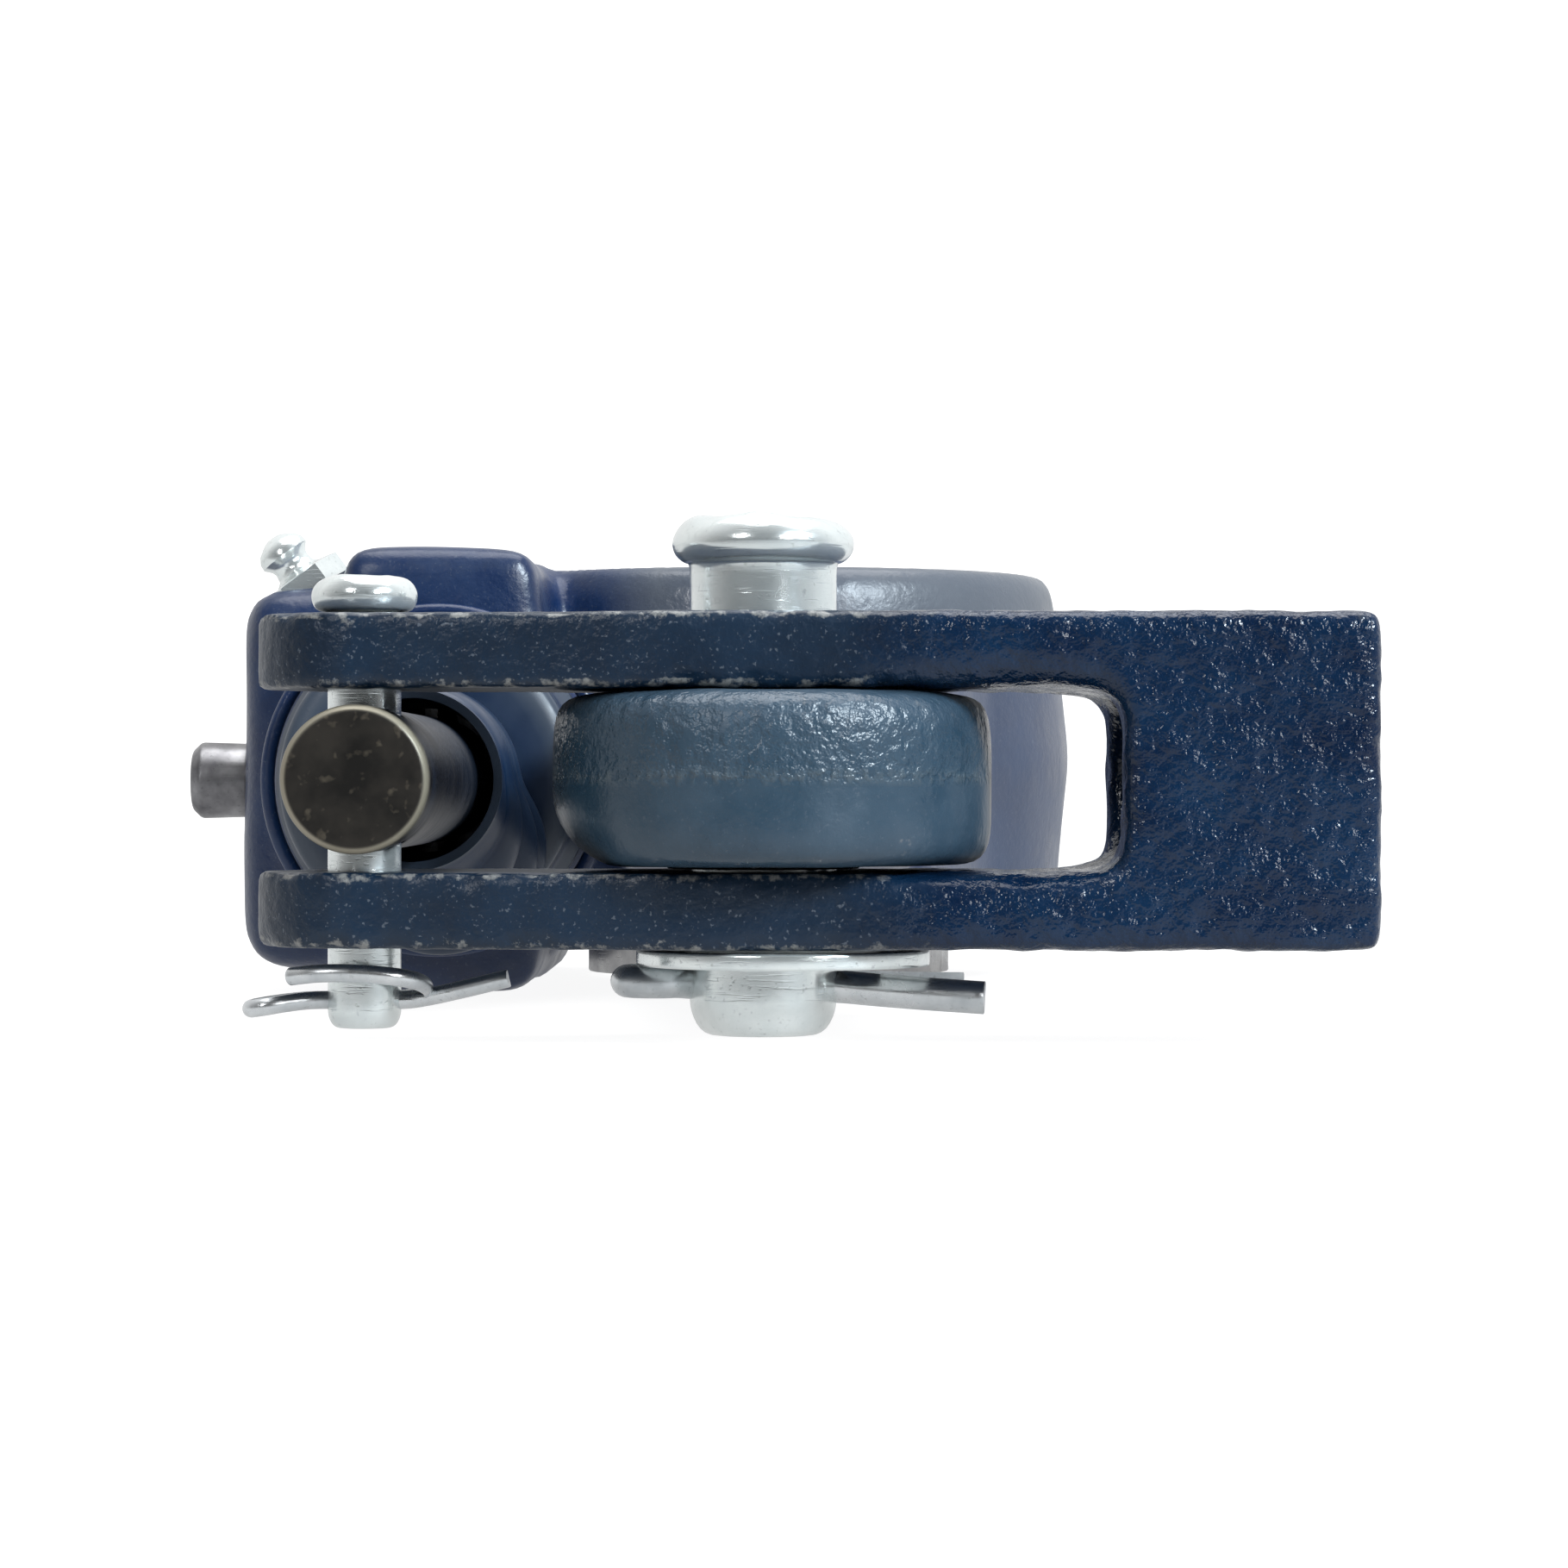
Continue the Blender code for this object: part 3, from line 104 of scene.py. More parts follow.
world = bpy.data.worlds.new("light_tent")
bpy.context.scene.world = world
world.use_nodes = True
nodes, links = world.node_tree.nodes, world.node_tree.links
background = nodes["Background"]
background.inputs["Color"].default_value = (1, 1, 1, 1)
direction = nodes.new("ShaderNodeTexCoord")
split = nodes.new("ShaderNodeSeparateXYZ")
links.new(direction.outputs["Generated"], split.inputs[0])
depth = nodes.new("ShaderNodeMapRange")
depth.inputs["From Min"].default_value = -0.8
depth.inputs["From Max"].default_value = 0.35
depth.inputs["To Min"].default_value = 0.03
depth.inputs["To Max"].default_value = 0.9
links.new(split.outputs["Y"], depth.inputs["Value"])
seen = nodes.new("ShaderNodeLightPath")
strength = nodes.new("ShaderNodeMix")
strength.inputs["B"].default_value = 1.3
links.new(depth.outputs["Result"], strength.inputs["A"])
links.new(seen.outputs["Is Camera Ray"], strength.inputs["Factor"])
links.new(strength.outputs["Result"], background.inputs["Strength"])
bpy.context.scene.view_settings.view_transform = "Standard"

bpy.ops.mesh.primitive_circle_add(vertices=96, radius=1.6, fill_type="NGON", location=(0, 0, -0.0002))
table = bpy.context.object
table.name = "table"
table_finish = bpy.data.materials.new("white_table")
table_finish.use_nodes = True
shader = table_finish.node_tree.nodes["Principled BSDF"]
shader.inputs["Base Color"].default_value = (0.16, 0.16, 0.16, 1)
shader.inputs["Roughness"].default_value = 0.8
shader.inputs["Emission Color"].default_value = (1, 1, 1, 1)
seen = table_finish.node_tree.nodes.new("ShaderNodeLightPath")
parts = table_finish.node_tree.nodes.new("ShaderNodeSeparateXYZ")
where = table_finish.node_tree.nodes.new("ShaderNodeTexCoord")
table_finish.node_tree.links.new(where.outputs["Object"], parts.inputs[0])
near = table_finish.node_tree.nodes.new("ShaderNodeMapRange")
near.inputs["From Min"].default_value = -0.26
near.inputs["From Max"].default_value = -0.10
near.inputs["To Min"].default_value = 0.02
near.inputs["To Max"].default_value = 0.55
table_finish.node_tree.links.new(parts.outputs["Y"], near.inputs["Value"])
glow = table_finish.node_tree.nodes.new("ShaderNodeMapRange")
glow.inputs["To Max"].default_value = 0.92
table_finish.node_tree.links.new(near.outputs["Result"], glow.inputs["To Min"])
table_finish.node_tree.links.new(seen.outputs["Is Camera Ray"], glow.inputs["Value"])
table_finish.node_tree.links.new(glow.outputs["Result"], shader.inputs["Emission Strength"])
table.data.materials.append(table_finish)


# ---------------------------------------------------------------- clevis pins
# Two cold-headed steel pins, bright zinc plated. The heads are upset domes, flattened and dented on
# top by the header, and the tips are bevelled. They are turned profiles with shallow dents.


def unit_noise(cells, seed):
    """Repeatable numbers from 0 to 1 for whole-numbered cells, as the fraction of a steep sine."""
    key = cells[..., 0] * 12.9898 + cells[..., 1] * 78.233 + cells[..., 2] * 37.719 + seed * 17.13
    value = np.sin(key) * 43758.5453
    return value - np.floor(value)


def lumps(points, size, seed=0):
    """Smooth noise from -1 to 1 whose features are size wide: a random value on each corner of a cubic
    lattice, blended across each cell with a smoothstep."""
    place = np.asarray(points) / size
    cell = np.floor(place)
    part = place - cell
    part = part * part * (3 - 2 * part)
    total = np.zeros(place.shape[:-1])
    for corner in range(8):
        step = np.array([corner & 1, corner >> 1 & 1, corner >> 2 & 1])
        weight = np.prod(np.where(step == 1, part, 1 - part), axis=-1)
        total += weight * unit_noise(cell + step, seed)
    return total * 2 - 1


def softened(profile, size, steps=5):
    """A polyline with each inner corner replaced by a quadratic curve that starts and ends size away
    from the corner, or half way along a shorter side."""
    profile = [np.array(point, float) for point in profile]
    smooth = [profile[0]]
    for before, corner, after in zip(profile, profile[1:], profile[2:]):
        back, on = before - corner, after - corner
        start = corner + back * min(size / max(np.linalg.norm(back), 1e-9), 0.5)
        end = corner + on * min(size / max(np.linalg.norm(on), 1e-9), 0.5)
        for t in np.linspace(0, 1, steps):
            smooth.append(start * (1 - t) ** 2 + 2 * corner * t * (1 - t) + end * t**2)
    smooth.append(profile[-1])
    return np.array(smooth)


def divided(profile, step):
    """The polyline with points added so that no stretch is longer than step."""
    rows = [profile[:1]]
    for start, end in zip(profile, profile[1:]):
        count = max(int(np.ceil(np.linalg.norm(end - start) / step)), 1)
        share = np.linspace(0, 1, count + 1)[1:, None]
        rows.append(start + (end - start) * share)
    return np.concatenate(rows)


def lathe(profile, base, axis="Z", columns=72):
    """Points of a turned surface: each (radius, height) of the profile swept round the axis through
    base, as rows of columns points. Rows run down the outside, so faces point outwards."""
    angle = np.linspace(0, 2 * np.pi, columns, endpoint=False)
    radius, height = profile[:, 0:1], profile[:, 1:2]
    a, b = radius * np.cos(angle), radius * np.sin(angle)
    c = np.broadcast_to(height, a.shape)
    order = {"Z": (a, b, c), "X": (c, a, b), "Y": (b, c, a)}[axis]
    return np.stack(order, axis=-1) + np.array(base)


def surface(name, points, ring=False, wrap=True):
    """A mesh object over a grid of points (rows, columns, 3). Columns wrap round when wrap is set,
    and rows do when ring is set. Open ends close where their row has shrunk to one point."""
    rows, columns = points.shape[:2]
    index = np.arange(rows * columns).reshape(rows, columns)
    below = np.roll(index, -1, axis=0) if ring else index[1:]
    above = index if ring else index[:-1]
    if wrap:
        faces = np.stack([above, below, np.roll(below, -1, 1), np.roll(above, -1, 1)], axis=-1)
    else:
        faces = np.stack([above[:, :-1], below[:, :-1], below[:, 1:], above[:, 1:]], axis=-1)
    mesh = bpy.data.meshes.new(name)
    mesh.from_pydata(points.reshape(-1, 3).tolist(), [], faces.reshape(-1, 4).tolist())
    shape = bmesh.new()
    shape.from_mesh(mesh)
    bmesh.ops.remove_doubles(shape, verts=shape.verts, dist=0.001 * MM)
    bmesh.ops.dissolve_degenerate(shape, edges=shape.edges, dist=0.0005 * MM)
    loose = [edge for edge in shape.edges if edge.is_boundary]
    if loose and wrap:
        bmesh.ops.holes_fill(shape, edges=loose, sides=0)
    bmesh.ops.recalc_face_normals(shape, faces=shape.faces)
    shape.to_mesh(mesh)
    shape.free()
    mesh.shade_smooth()
    mesh.set_sharp_from_angle(angle=math.radians(42))
    obj = bpy.data.objects.new(name, mesh)
    bpy.context.scene.collection.objects.link(obj)
    return obj


def finished(obj, body, finish, slot, *nodes):
    """Gives a new piece its material, its body and the CAD nodes that it stands for."""
    obj.data.materials.clear()
    obj.data.materials.append(finish)
    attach(obj, body)
    if nodes:
        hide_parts(*nodes)
    return obj


def group(name, inputs, outputs):
    """An empty shader node group with named sockets, and its input and output nodes."""
    made = bpy.data.node_groups.new(name, "ShaderNodeTree")
    for label, kind, value in inputs:
        socket = made.interface.new_socket(label, in_out="INPUT", socket_type=kind)
        socket.default_value = value
    for label, kind in outputs:
        made.interface.new_socket(label, in_out="OUTPUT", socket_type=kind)
    return made, made.nodes.new("NodeGroupInput"), made.nodes.new("NodeGroupOutput")


def noise(tree, vector, scale, detail=3.0, rough=0.5):
    """A noise texture reading a vector socket. Scale is a number or a socket."""
    node = tree.nodes.new("ShaderNodeTexNoise")
    tree.links.new(vector, node.inputs["Vector"])
    if isinstance(scale, (int, float)):
        node.inputs["Scale"].default_value = scale
    else:
        tree.links.new(scale, node.inputs["Scale"])
    node.inputs["Detail"].default_value = detail
    node.inputs["Roughness"].default_value = rough
    return node.outputs["Fac"]


def spread(tree, value, low, high, to_low=0.0, to_high=1.0):
    """Maps a value from low..high to to_low..to_high, clamped."""
    node = tree.nodes.new("ShaderNodeMapRange")
    tree.links.new(value, node.inputs["Value"])
    for label, number in zip(("From Min", "From Max", "To Min", "To Max"), (low, high, to_low, to_high)):
        if isinstance(number, (int, float)):
            node.inputs[label].default_value = number
        else:
            tree.links.new(number, node.inputs[label])
    return node.outputs["Result"]


def maths(tree, operation, first, second=None, third=None):
    """A Math node's result. Each operand is a number or a socket."""
    node = tree.nodes.new("ShaderNodeMath")
    node.operation = operation
    for socket, value in zip(node.inputs, (first, second, third)):
        if value is None:
            continue
        if isinstance(value, (int, float)):
            socket.default_value = value
        else:
            tree.links.new(value, socket)
    return node.outputs[0]


def object_place(tree):
    return tree.nodes.new("ShaderNodeTexCoord").outputs["Object"]


def tint(tree, factor, first, second):
    """Mixes two colours, each a tuple or a socket, by a factor socket."""
    node = tree.nodes.new("ShaderNodeMix")
    node.data_type = "RGBA"
    tree.links.new(factor, node.inputs["Factor"])
    for label, colour in (("A", first), ("B", second)):
        socket = [s for s in node.inputs if s.name == label and s.type == "RGBA"][0]
        if isinstance(colour, tuple):
            socket.default_value = (*colour, 1)
        else:
            tree.links.new(colour, socket)
    return [s for s in node.outputs if s.type == "RGBA"][0]


def new_finish(name):
    """A material, its node tree and its Principled shader."""
    made = bpy.data.materials.new(name)
    made.use_nodes = True
    return made, made.node_tree, made.node_tree.nodes["Principled BSDF"]


def bump(tree, shader, height, strength, distance):
    node = tree.nodes.new("ShaderNodeBump")
    node.inputs["Strength"].default_value = strength
    node.inputs["Distance"].default_value = distance
    tree.links.new(height, node.inputs["Height"])
    tree.links.new(node.outputs["Normal"], shader.inputs["Normal"])


def place_group(tree, made, **values):
    node = tree.nodes.new("ShaderNodeGroup")
    node.node_tree = made
    for label, value in values.items():
        node.inputs[label.replace("_", " ")].default_value = value
    return node


# Scuffs: cloudy patches, fine pits and hairline scratches, each from 0 to 1.
scuffs, into, out = group(
    "scuffs",
    [("Patch Size", "NodeSocketFloat", 150.0), ("Pit Size", "NodeSocketFloat", 1800.0)],
    [("Patches", "NodeSocketFloat"), ("Pits", "NodeSocketFloat"), ("Scratches", "NodeSocketFloat")],
)
where = object_place(scuffs)
cloudy = noise(scuffs, where, into.outputs["Patch Size"], 4.0, 0.6)
scuffs.links.new(spread(scuffs, cloudy, 0.35, 0.65), out.inputs["Patches"])
pitted = noise(scuffs, where, into.outputs["Pit Size"], 2.0, 0.5)
scuffs.links.new(spread(scuffs, pitted, 0.62, 0.75), out.inputs["Pits"])
stretched = scuffs.nodes.new("ShaderNodeMapping")
stretched.inputs["Scale"].default_value = (260, 300, 4200)
stretched.inputs["Rotation"].default_value = (0.5, 0.3, 0.2)
scuffs.links.new(where, stretched.inputs["Vector"])
hairs = noise(scuffs, stretched.outputs["Vector"], 1.0, 2.0, 0.4)
scuffs.links.new(spread(scuffs, hairs, 0.6, 0.7), out.inputs["Scratches"])


def plated(name, bright, dull, low_rough, high_rough, metallic=1.0):
    """A metal finish: bright with duller clouds, dark specks in its pits, and hairlines."""
    made, tree, shader = new_finish(name)
    marks = place_group(tree, scuffs, Patch_Size=170.0, Pit_Size=2300.0)
    base = tint(tree, marks.outputs["Patches"], bright, dull)
    speck = maths(tree, "MULTIPLY", marks.outputs["Pits"], 0.3)
    dark = tuple(channel * 0.3 for channel in dull)
    tree.links.new(tint(tree, speck, base, dark), shader.inputs["Base Color"])
    rough = spread(tree, marks.outputs["Patches"], 0.0, 1.0, low_rough, high_rough)
    tree.links.new(rough, shader.inputs["Roughness"])
    shader.inputs["Metallic"].default_value = metallic
    height = maths(tree, "ADD", marks.outputs["Scratches"], marks.outputs["Pits"])
    bump(tree, shader, maths(tree, "MULTIPLY", height, -1.0), 0.2, 0.00003)
    return made


zinc = plated("bright_zinc", (0.86, 0.90, 0.89), (0.72, 0.77, 0.77), 0.14, 0.24, 0.78)


def clevis_pin(node, shaft, head_height, dent, length):
    """Domed head over a plain shaft with a bevelled tip. The head's radius comes from the CAD node."""
    low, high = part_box(node)
    centre = (low + high) / 2
    head = (high.x - low.x) / 2
    top = low.z + length
    shoulder = top - head_height
    outline = [
        (0, top - dent),
        (head * 0.34, top - dent * 0.7),
        (head * 0.62, top - dent * 0.05),
        (head * 0.86, top - head_height * 0.1),
        (head * 0.995, top - head_height * 0.45),
        (head * 0.97, shoulder + head_height * 0.2),
        (head * 0.86, shoulder),
        (shaft, shoulder),
        (shaft, low.z + shaft * 0.32),
        (shaft * 0.82, low.z),
        (0, low.z),
    ]
    profile = divided(softened(outline, head * 0.14), head * 0.12)
    points = lathe(profile, (centre.x, centre.y, 0), "Z", 96)
    on_top = np.clip((points[..., 2] - shoulder - head_height * 0.6) / (head_height * 0.3), 0, 1)
    points[..., 2] += lumps(points, head * 0.55, 3) * on_top * dent * 0.55
    points[..., 2] += lumps(points, head * 0.2, 5) * on_top * dent * 0.12
    points[0] = points[0].mean(0)
    pin = surface(node + "_turned", points)
    return finished(pin, "clevis", zinc, "zinc_plate", node)


LARGE_SHAFT = 6.35 * MM
SMALL_SHAFT = LARGE_SHAFT / 2
clevis_pin("large_clevis_pin", LARGE_SHAFT, head_height=3.9 * MM, dent=0.9 * MM, length=44.7 * MM)
clevis_pin("small_clevis_pin", SMALL_SHAFT, head_height=3.1 * MM, dent=0.45 * MM, length=39.1 * MM)

# ---------------------------------------------------------------- pin washer
# A plain zinc-plated washer under the clevis, stamped with a slightly rolled upper edge. Its hole is
# loose on the pin, so it hangs a little to one side.


def turned_ring(name, outline, base, axis, finish, body, slot, *stands_for, soft=0.3, columns=96):
    """A turned piece whose (radius, height) outline is a closed loop, with softened corners. The loop
    starts half way along the side between its last and first points."""
    start = (np.array(outline[-1]) + np.array(outline[0])) / 2
    profile = softened([start, *outline, start], soft * MM)[:-1]
    ring = surface(name, lathe(profile, base, axis, columns), ring=True)
    return finished(ring, body, finish, slot, *stands_for)


def ring_outline(inner, outer, low, high):
    """The rectangle that a plain ring's section is, as (radius, height) points."""
    return [(outer, high), (outer, low), (inner, low), (inner, high)]


low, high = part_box("large_pin_washer")
washer_middle = (low + high) / 2
WASHER_BORE = 8.4 * MM
WASHER_RIM = 12.7 * MM
WASHER_ASIDE = 1.7 * MM
turned_ring(
    "large_pin_washer_stamped",
    ring_outline(WASHER_BORE, WASHER_RIM, low.z - 0.2 * MM, high.z),
    (washer_middle.x + WASHER_ASIDE, washer_middle.y, 0),
    "Z",
    zinc,
    "clevis",
    "zinc_plate",
    "large_pin_washer",
)


# ---------------------------------------------------------------- split pins
# Half-round galvanised wire folded flat to flat, with an eye at the fold. The legs of the large one
# are spread past the pin; one leg of the small one is wrapped round the front of its pin.


def curve_through(points, count):
    """A Catmull-Rom curve through the points, as count evenly numbered places."""
    points = np.array(points, float)
    ends = np.concatenate([[2 * points[0] - points[1]], points, [2 * points[-1] - points[-2]]])
    t = np.linspace(0, len(points) - 1 - 1e-9, count)
    i = t.astype(int)
    f = (t - i)[:, None]
    a, b, c, d = ends[i], ends[i + 1], ends[i + 2], ends[i + 3]
    return 0.5 * (2 * b + (c - a) * f + (2 * a - 5 * b + 4 * c - d) * f**2 + (3 * b - a - 3 * c + d) * f**3)


def swept(name, path, section, flat_normal):
    """Carries a closed section along the path. Its first axis stays square to flat_normal, its second
    runs along it as far as the path allows, and both ends are closed by a shrunken copy."""
    step = np.gradient(path, axis=0)
    tangent = step / np.linalg.norm(step, axis=1, keepdims=True)
    side = np.cross(tangent, np.array(flat_normal, float))
    side /= np.linalg.norm(side, axis=1, keepdims=True)
    up = np.cross(side, tangent)
    rows = path[:, None] + section[:, 0:1] * side[:, None] + section[:, 1:2] * up[:, None]
    middle = rows.mean(1, keepdims=True)
    inset = 0.12
    first = rows[:1] + (middle[:1] - rows[:1]) * inset - tangent[:1, None] * 0.1 * MM
    last = rows[-1:] + (middle[-1:] - rows[-1:]) * inset + tangent[-1:, None] * 0.1 * MM
    grid = np.concatenate([first * 0 + first.mean(1, keepdims=True), first, rows, last,
                           last * 0 + last.mean(1, keepdims=True)])
    return surface(name, grid)


def half_round(radius):
    """A half disc whose flat is on the first axis at zero, and whose round side is below zero."""
    angle = np.linspace(-np.pi / 2, np.pi / 2, 13)
    arc = np.stack([-np.cos(angle), np.sin(angle)], axis=1) * radius
    flat = np.stack([np.zeros(3), np.linspace(0.6, -0.6, 3) * radius], axis=1)
    return np.concatenate([arc, flat])


wire_zinc = plated("galvanised_wire", (0.75, 0.77, 0.78), (0.5, 0.53, 0.55), 0.2, 0.4)

low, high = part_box("large_pin_cotter")
hole_z = 4.6 * MM
leg = 1.42 * MM
loop_angle = np.radians(np.linspace(38, 322, 9))
fold = [(-9.3 + 2.5 * np.cos(a), 2.3 * np.sin(a), 0.36) for a in loop_angle]
legs = [(19.0, -3.4, -0.95), (14, -2.5, -0.65), (9.5, -1.2, -0.35), (6, -0.2, -0.1), (0, -0.08, 0)]
legs += [(-5.6, -0.3, 0.2)]
back = [(-5.6, 0.3, 0.2), (0, 0.08, 0), (6, 0.2, -0.1), (9.5, 1.3, -0.25), (14, 3.0, -0.4), (17.5, 4.6, -0.5)]
path = np.array(legs + fold[::-1] + back) * MM + np.array([PIN.x, PIN.y, hole_z])
split = swept("large_pin_cotter_wire", curve_through(path, 150), half_round(leg), (0, 0, 1))
finished(split, "clevis", wire_zinc, "zinc_plate", "large_pin_cotter")

small_low, small_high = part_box("small_clevis_pin")
SMALL = (small_low + small_high) / 2
leg = 0.78 * MM
legs = [(12.6, -2.6, 2.0), (9, -1.6, 1.1), (5.5, -0.5, 0.3), (3.2, -0.1, 0), (0, -0.05, 0), (-4.2, -0.15, 0)]
fold = [(-6.5, -0.9, -0.2), (-8.4, -1.4, -0.5), (-9.6, -0.7, -0.7), (-9.7, 0.6, -0.7), (-8.5, 1.4, -0.5)]
fold += [(-6.5, 0.9, -0.2)]
back = [(-4.2, 0.15, 0), (0, 0.05, 0), (3.4, 0.1, 0.1), (5.0, -0.5, 0.7), (5.2, -2.6, 1.5), (3.6, -4.4, 2.1),
        (0, -5.1, 2.5), (-3.4, -4.9, 2.5), (-6.0, -3.6, 2.2)]
path = np.array(legs + fold + back) * MM + np.array([SMALL.x, SMALL.y, 3.3 * MM])
split = swept("small_pin_cotter_wire", curve_through(path, 160), half_round(leg), (0, 0, 1))
finished(split, "clevis", wire_zinc, "zinc_plate", "small_pin_cotter")


# ---------------------------------------------------------------- arm bushing
# A hardened steel bushing pressed into the eye, with a bright, slightly scratched lower lip.

steel = plated("machined_steel", (0.5, 0.5, 0.5), (0.36, 0.36, 0.37), 0.22, 0.42)
low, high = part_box("arm_bushing")
turned_ring(
    "arm_bushing_turned",
    ring_outline(LARGE_SHAFT + 0.3 * MM, (high.x - low.x) / 2, low.z - 0.1 * MM, high.z),
    (PIN.x, PIN.y, 0),
    "Z",
    steel,
    "housing",
    "machined_steel",
    "arm_bushing",
)


# ---------------------------------------------------------------- housing
# One steel forging: gear case, tower, arm and eye, with a trimmed parting line round the eye, and
# scale-pitted skin above it. It is dipped in dark navy paint, which is thin on the edges. The skin is
# the CAD surface remeshed, relaxed so that its corners round off, and pushed out and in by lumps.


def remeshed(node, name, voxel):
    """The CAD node's surface welded and rebuilt from cubes of one size, as a new mesh object."""
    shape = bmesh.new()
    shape.from_mesh(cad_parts[node].data)
    bmesh.ops.remove_doubles(shape, verts=shape.verts, dist=0.005 * MM)
    mesh = bpy.data.meshes.new(name)
    shape.to_mesh(mesh)
    shape.free()
    mesh.materials.clear()
    source = bpy.data.objects.new(name + "_source", mesh)
    bpy.context.scene.collection.objects.link(source)
    step = source.modifiers.new("skin", "REMESH")
    step.mode = "VOXEL"
    step.voxel_size = voxel
    bpy.context.view_layer.update()
    graph = bpy.context.evaluated_depsgraph_get()
    skin = bpy.data.meshes.new_from_object(source.evaluated_get(graph))
    skin.name = name
    bpy.data.objects.remove(source)
    bpy.data.meshes.remove(mesh)
    obj = bpy.data.objects.new(name, skin)
    bpy.context.scene.collection.objects.link(obj)
    return obj


def places(mesh):
    out = np.empty(len(mesh.vertices) * 3)
    mesh.vertices.foreach_get("co", out)
    return out.reshape(-1, 3)


def outward(mesh):
    out = np.empty(len(mesh.vertices) * 3)
    mesh.vertices.foreach_get("normal", out)
    return out.reshape(-1, 3)


def edge_ends(mesh):
    ends = np.empty(len(mesh.edges) * 2, np.int32)
    mesh.edges.foreach_get("vertices", ends)
    return ends.reshape(-1, 2)


def neighbour_mean(values, ends):
    """The mean of each vertex's neighbours, for an array with one row per vertex."""
    count = len(values)
    both = np.concatenate([ends[:, 0], ends[:, 1]])
    other = np.concatenate([ends[:, 1], ends[:, 0]])
    degree = np.bincount(both, minlength=count)[:, None]
    total = [np.bincount(both, weights=values[other, k], minlength=count) for k in range(values.shape[1])]
    return np.stack(total, axis=1) / degree


def relaxed(points, ends, times, share):
    """Moves each point by share of the way to its neighbours' mean, times over. Share may be an
    array with one value per point."""
    for _ in range(times):
        points = points + (neighbour_mean(points, ends) - points) * share
    return points


def smoothstep(low, high, value):
    t = np.clip((value - low) / (high - low), 0, 1)
    return t * t * (3 - 2 * t)


def write_shape(obj, points, wear_and_highlight):
    """Sets the vertices, stores how exposed each one is, and shades smooth."""
    mesh = obj.data
    mesh.vertices.foreach_set("co", points.ravel())
    stored = mesh.attributes.new("wear_and_highlight", "FLOAT", "POINT")
    stored.data.foreach_set("value", wear_and_highlight.astype(np.float32))
    mesh.update()
    mesh.shade_smooth()


def exposure(mesh, points, ends, size):
    """0 on flat and hollow places to 1 on outward corners, from the distance between each point and
    the mean of its surroundings along the normal."""
    away = points - relaxed(points, ends, 3, 0.8)
    return np.clip((away * outward(mesh)).sum(1) / size, 0, 1)


# The bores and the seats round the gear keep their sharp form, and only the rest is loose. The eye's
# lower outer corner was ground away, so its skin moves in there.
casting = remeshed("housing", "housing_forging", 0.95 * MM)
ends = edge_ends(casting.data)
points = places(casting.data)
gear_low, gear_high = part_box("worm_gear")
GEAR = (gear_low + gear_high) / 2
hub_far = np.hypot(points[:, 0] - GEAR.x, points[:, 1] - GEAR.y)
bore_far = np.hypot(points[:, 0] - PIN.x, points[:, 1] - PIN.y)
piston_low, piston_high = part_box("piston")
WORM = (piston_low + piston_high) / 2
worm_far = np.hypot(points[:, 0] - WORM.x, points[:, 2] - WORM.z)
off_bore = smoothstep(9.5 * MM, 12 * MM, bore_far)
loose = smoothstep(31 * MM, 34 * MM, hub_far) * off_bore * smoothstep(13.2 * MM, 14.6 * MM, worm_far)
points = relaxed(points, ends, 10, 0.65 * loose[:, None])
casting.data.vertices.foreach_set("co", points.ravel())
casting.data.update()
wear_and_highlight = exposure(casting.data, points, ends, 0.09 * MM)
normal = outward(casting.data)
swell = lumps(points, 16 * MM, 1) * 0.22 + lumps(points, 5 * MM, 2) * 0.07
points = points + normal * (swell * loose * MM)[:, None]
eye = smoothstep(PIN.y + 34 * MM, PIN.y + 20 * MM, points[:, 1]) * off_bore
corner = smoothstep(PIN.x - 12 * MM, PIN.x - 19 * MM, points[:, 0])
under = np.clip((PIN.z - 1.0 * MM - points[:, 2]) / (6.4 * MM), 0, 1) ** 2
points[:, 0] += eye * (0.8 + 3.0 * corner * under) * MM
write_shape(casting, points, wear_and_highlight)

# Edge wear: how much bright metal or primer shows, from the stored exposure broken up by noise.
edge_wear, into, out = group(
    "edge_wear",
    [("Amount", "NodeSocketFloat", 0.5), ("Grain", "NodeSocketFloat", 600.0)],
    [("Mask", "NodeSocketFloat"), ("Thin", "NodeSocketFloat")],
)
exposed = edge_wear.nodes.new("ShaderNodeAttribute")
exposed.attribute_name = "wear_and_highlight"
broken = noise(edge_wear, object_place(edge_wear), into.outputs["Grain"], 4.0, 0.65)
level = maths(edge_wear, "MULTIPLY", exposed.outputs["Fac"], into.outputs["Amount"])
both = maths(edge_wear, "ADD", level, broken)
edge_wear.links.new(spread(edge_wear, both, 0.98, 1.12), out.inputs["Mask"])
edge_wear.links.new(spread(edge_wear, both, 0.6, 1.1), out.inputs["Thin"])

# Painted skin: a fine orange peel over coarser pits, as one height.
skin_grain, into, out = group(
    "skin_grain",
    [("Peel", "NodeSocketFloat", 0.5), ("Pitting", "NodeSocketFloat", 0.5)],
    [("Height", "NodeSocketFloat"), ("Speck", "NodeSocketFloat")],
)
where = object_place(skin_grain)
peel = noise(skin_grain, where, 1500.0, 2.0, 0.5)
pits = noise(skin_grain, where, 620.0, 3.0, 0.6)
deep = spread(skin_grain, pits, 0.3, 0.62)
total = maths(
    skin_grain,
    "ADD",
    maths(skin_grain, "MULTIPLY", peel, into.outputs["Peel"]),
    maths(skin_grain, "MULTIPLY", deep, into.outputs["Pitting"]),
)
skin_grain.links.new(total, out.inputs["Height"])
fine = noise(skin_grain, where, 2600.0, 2.0, 0.5)
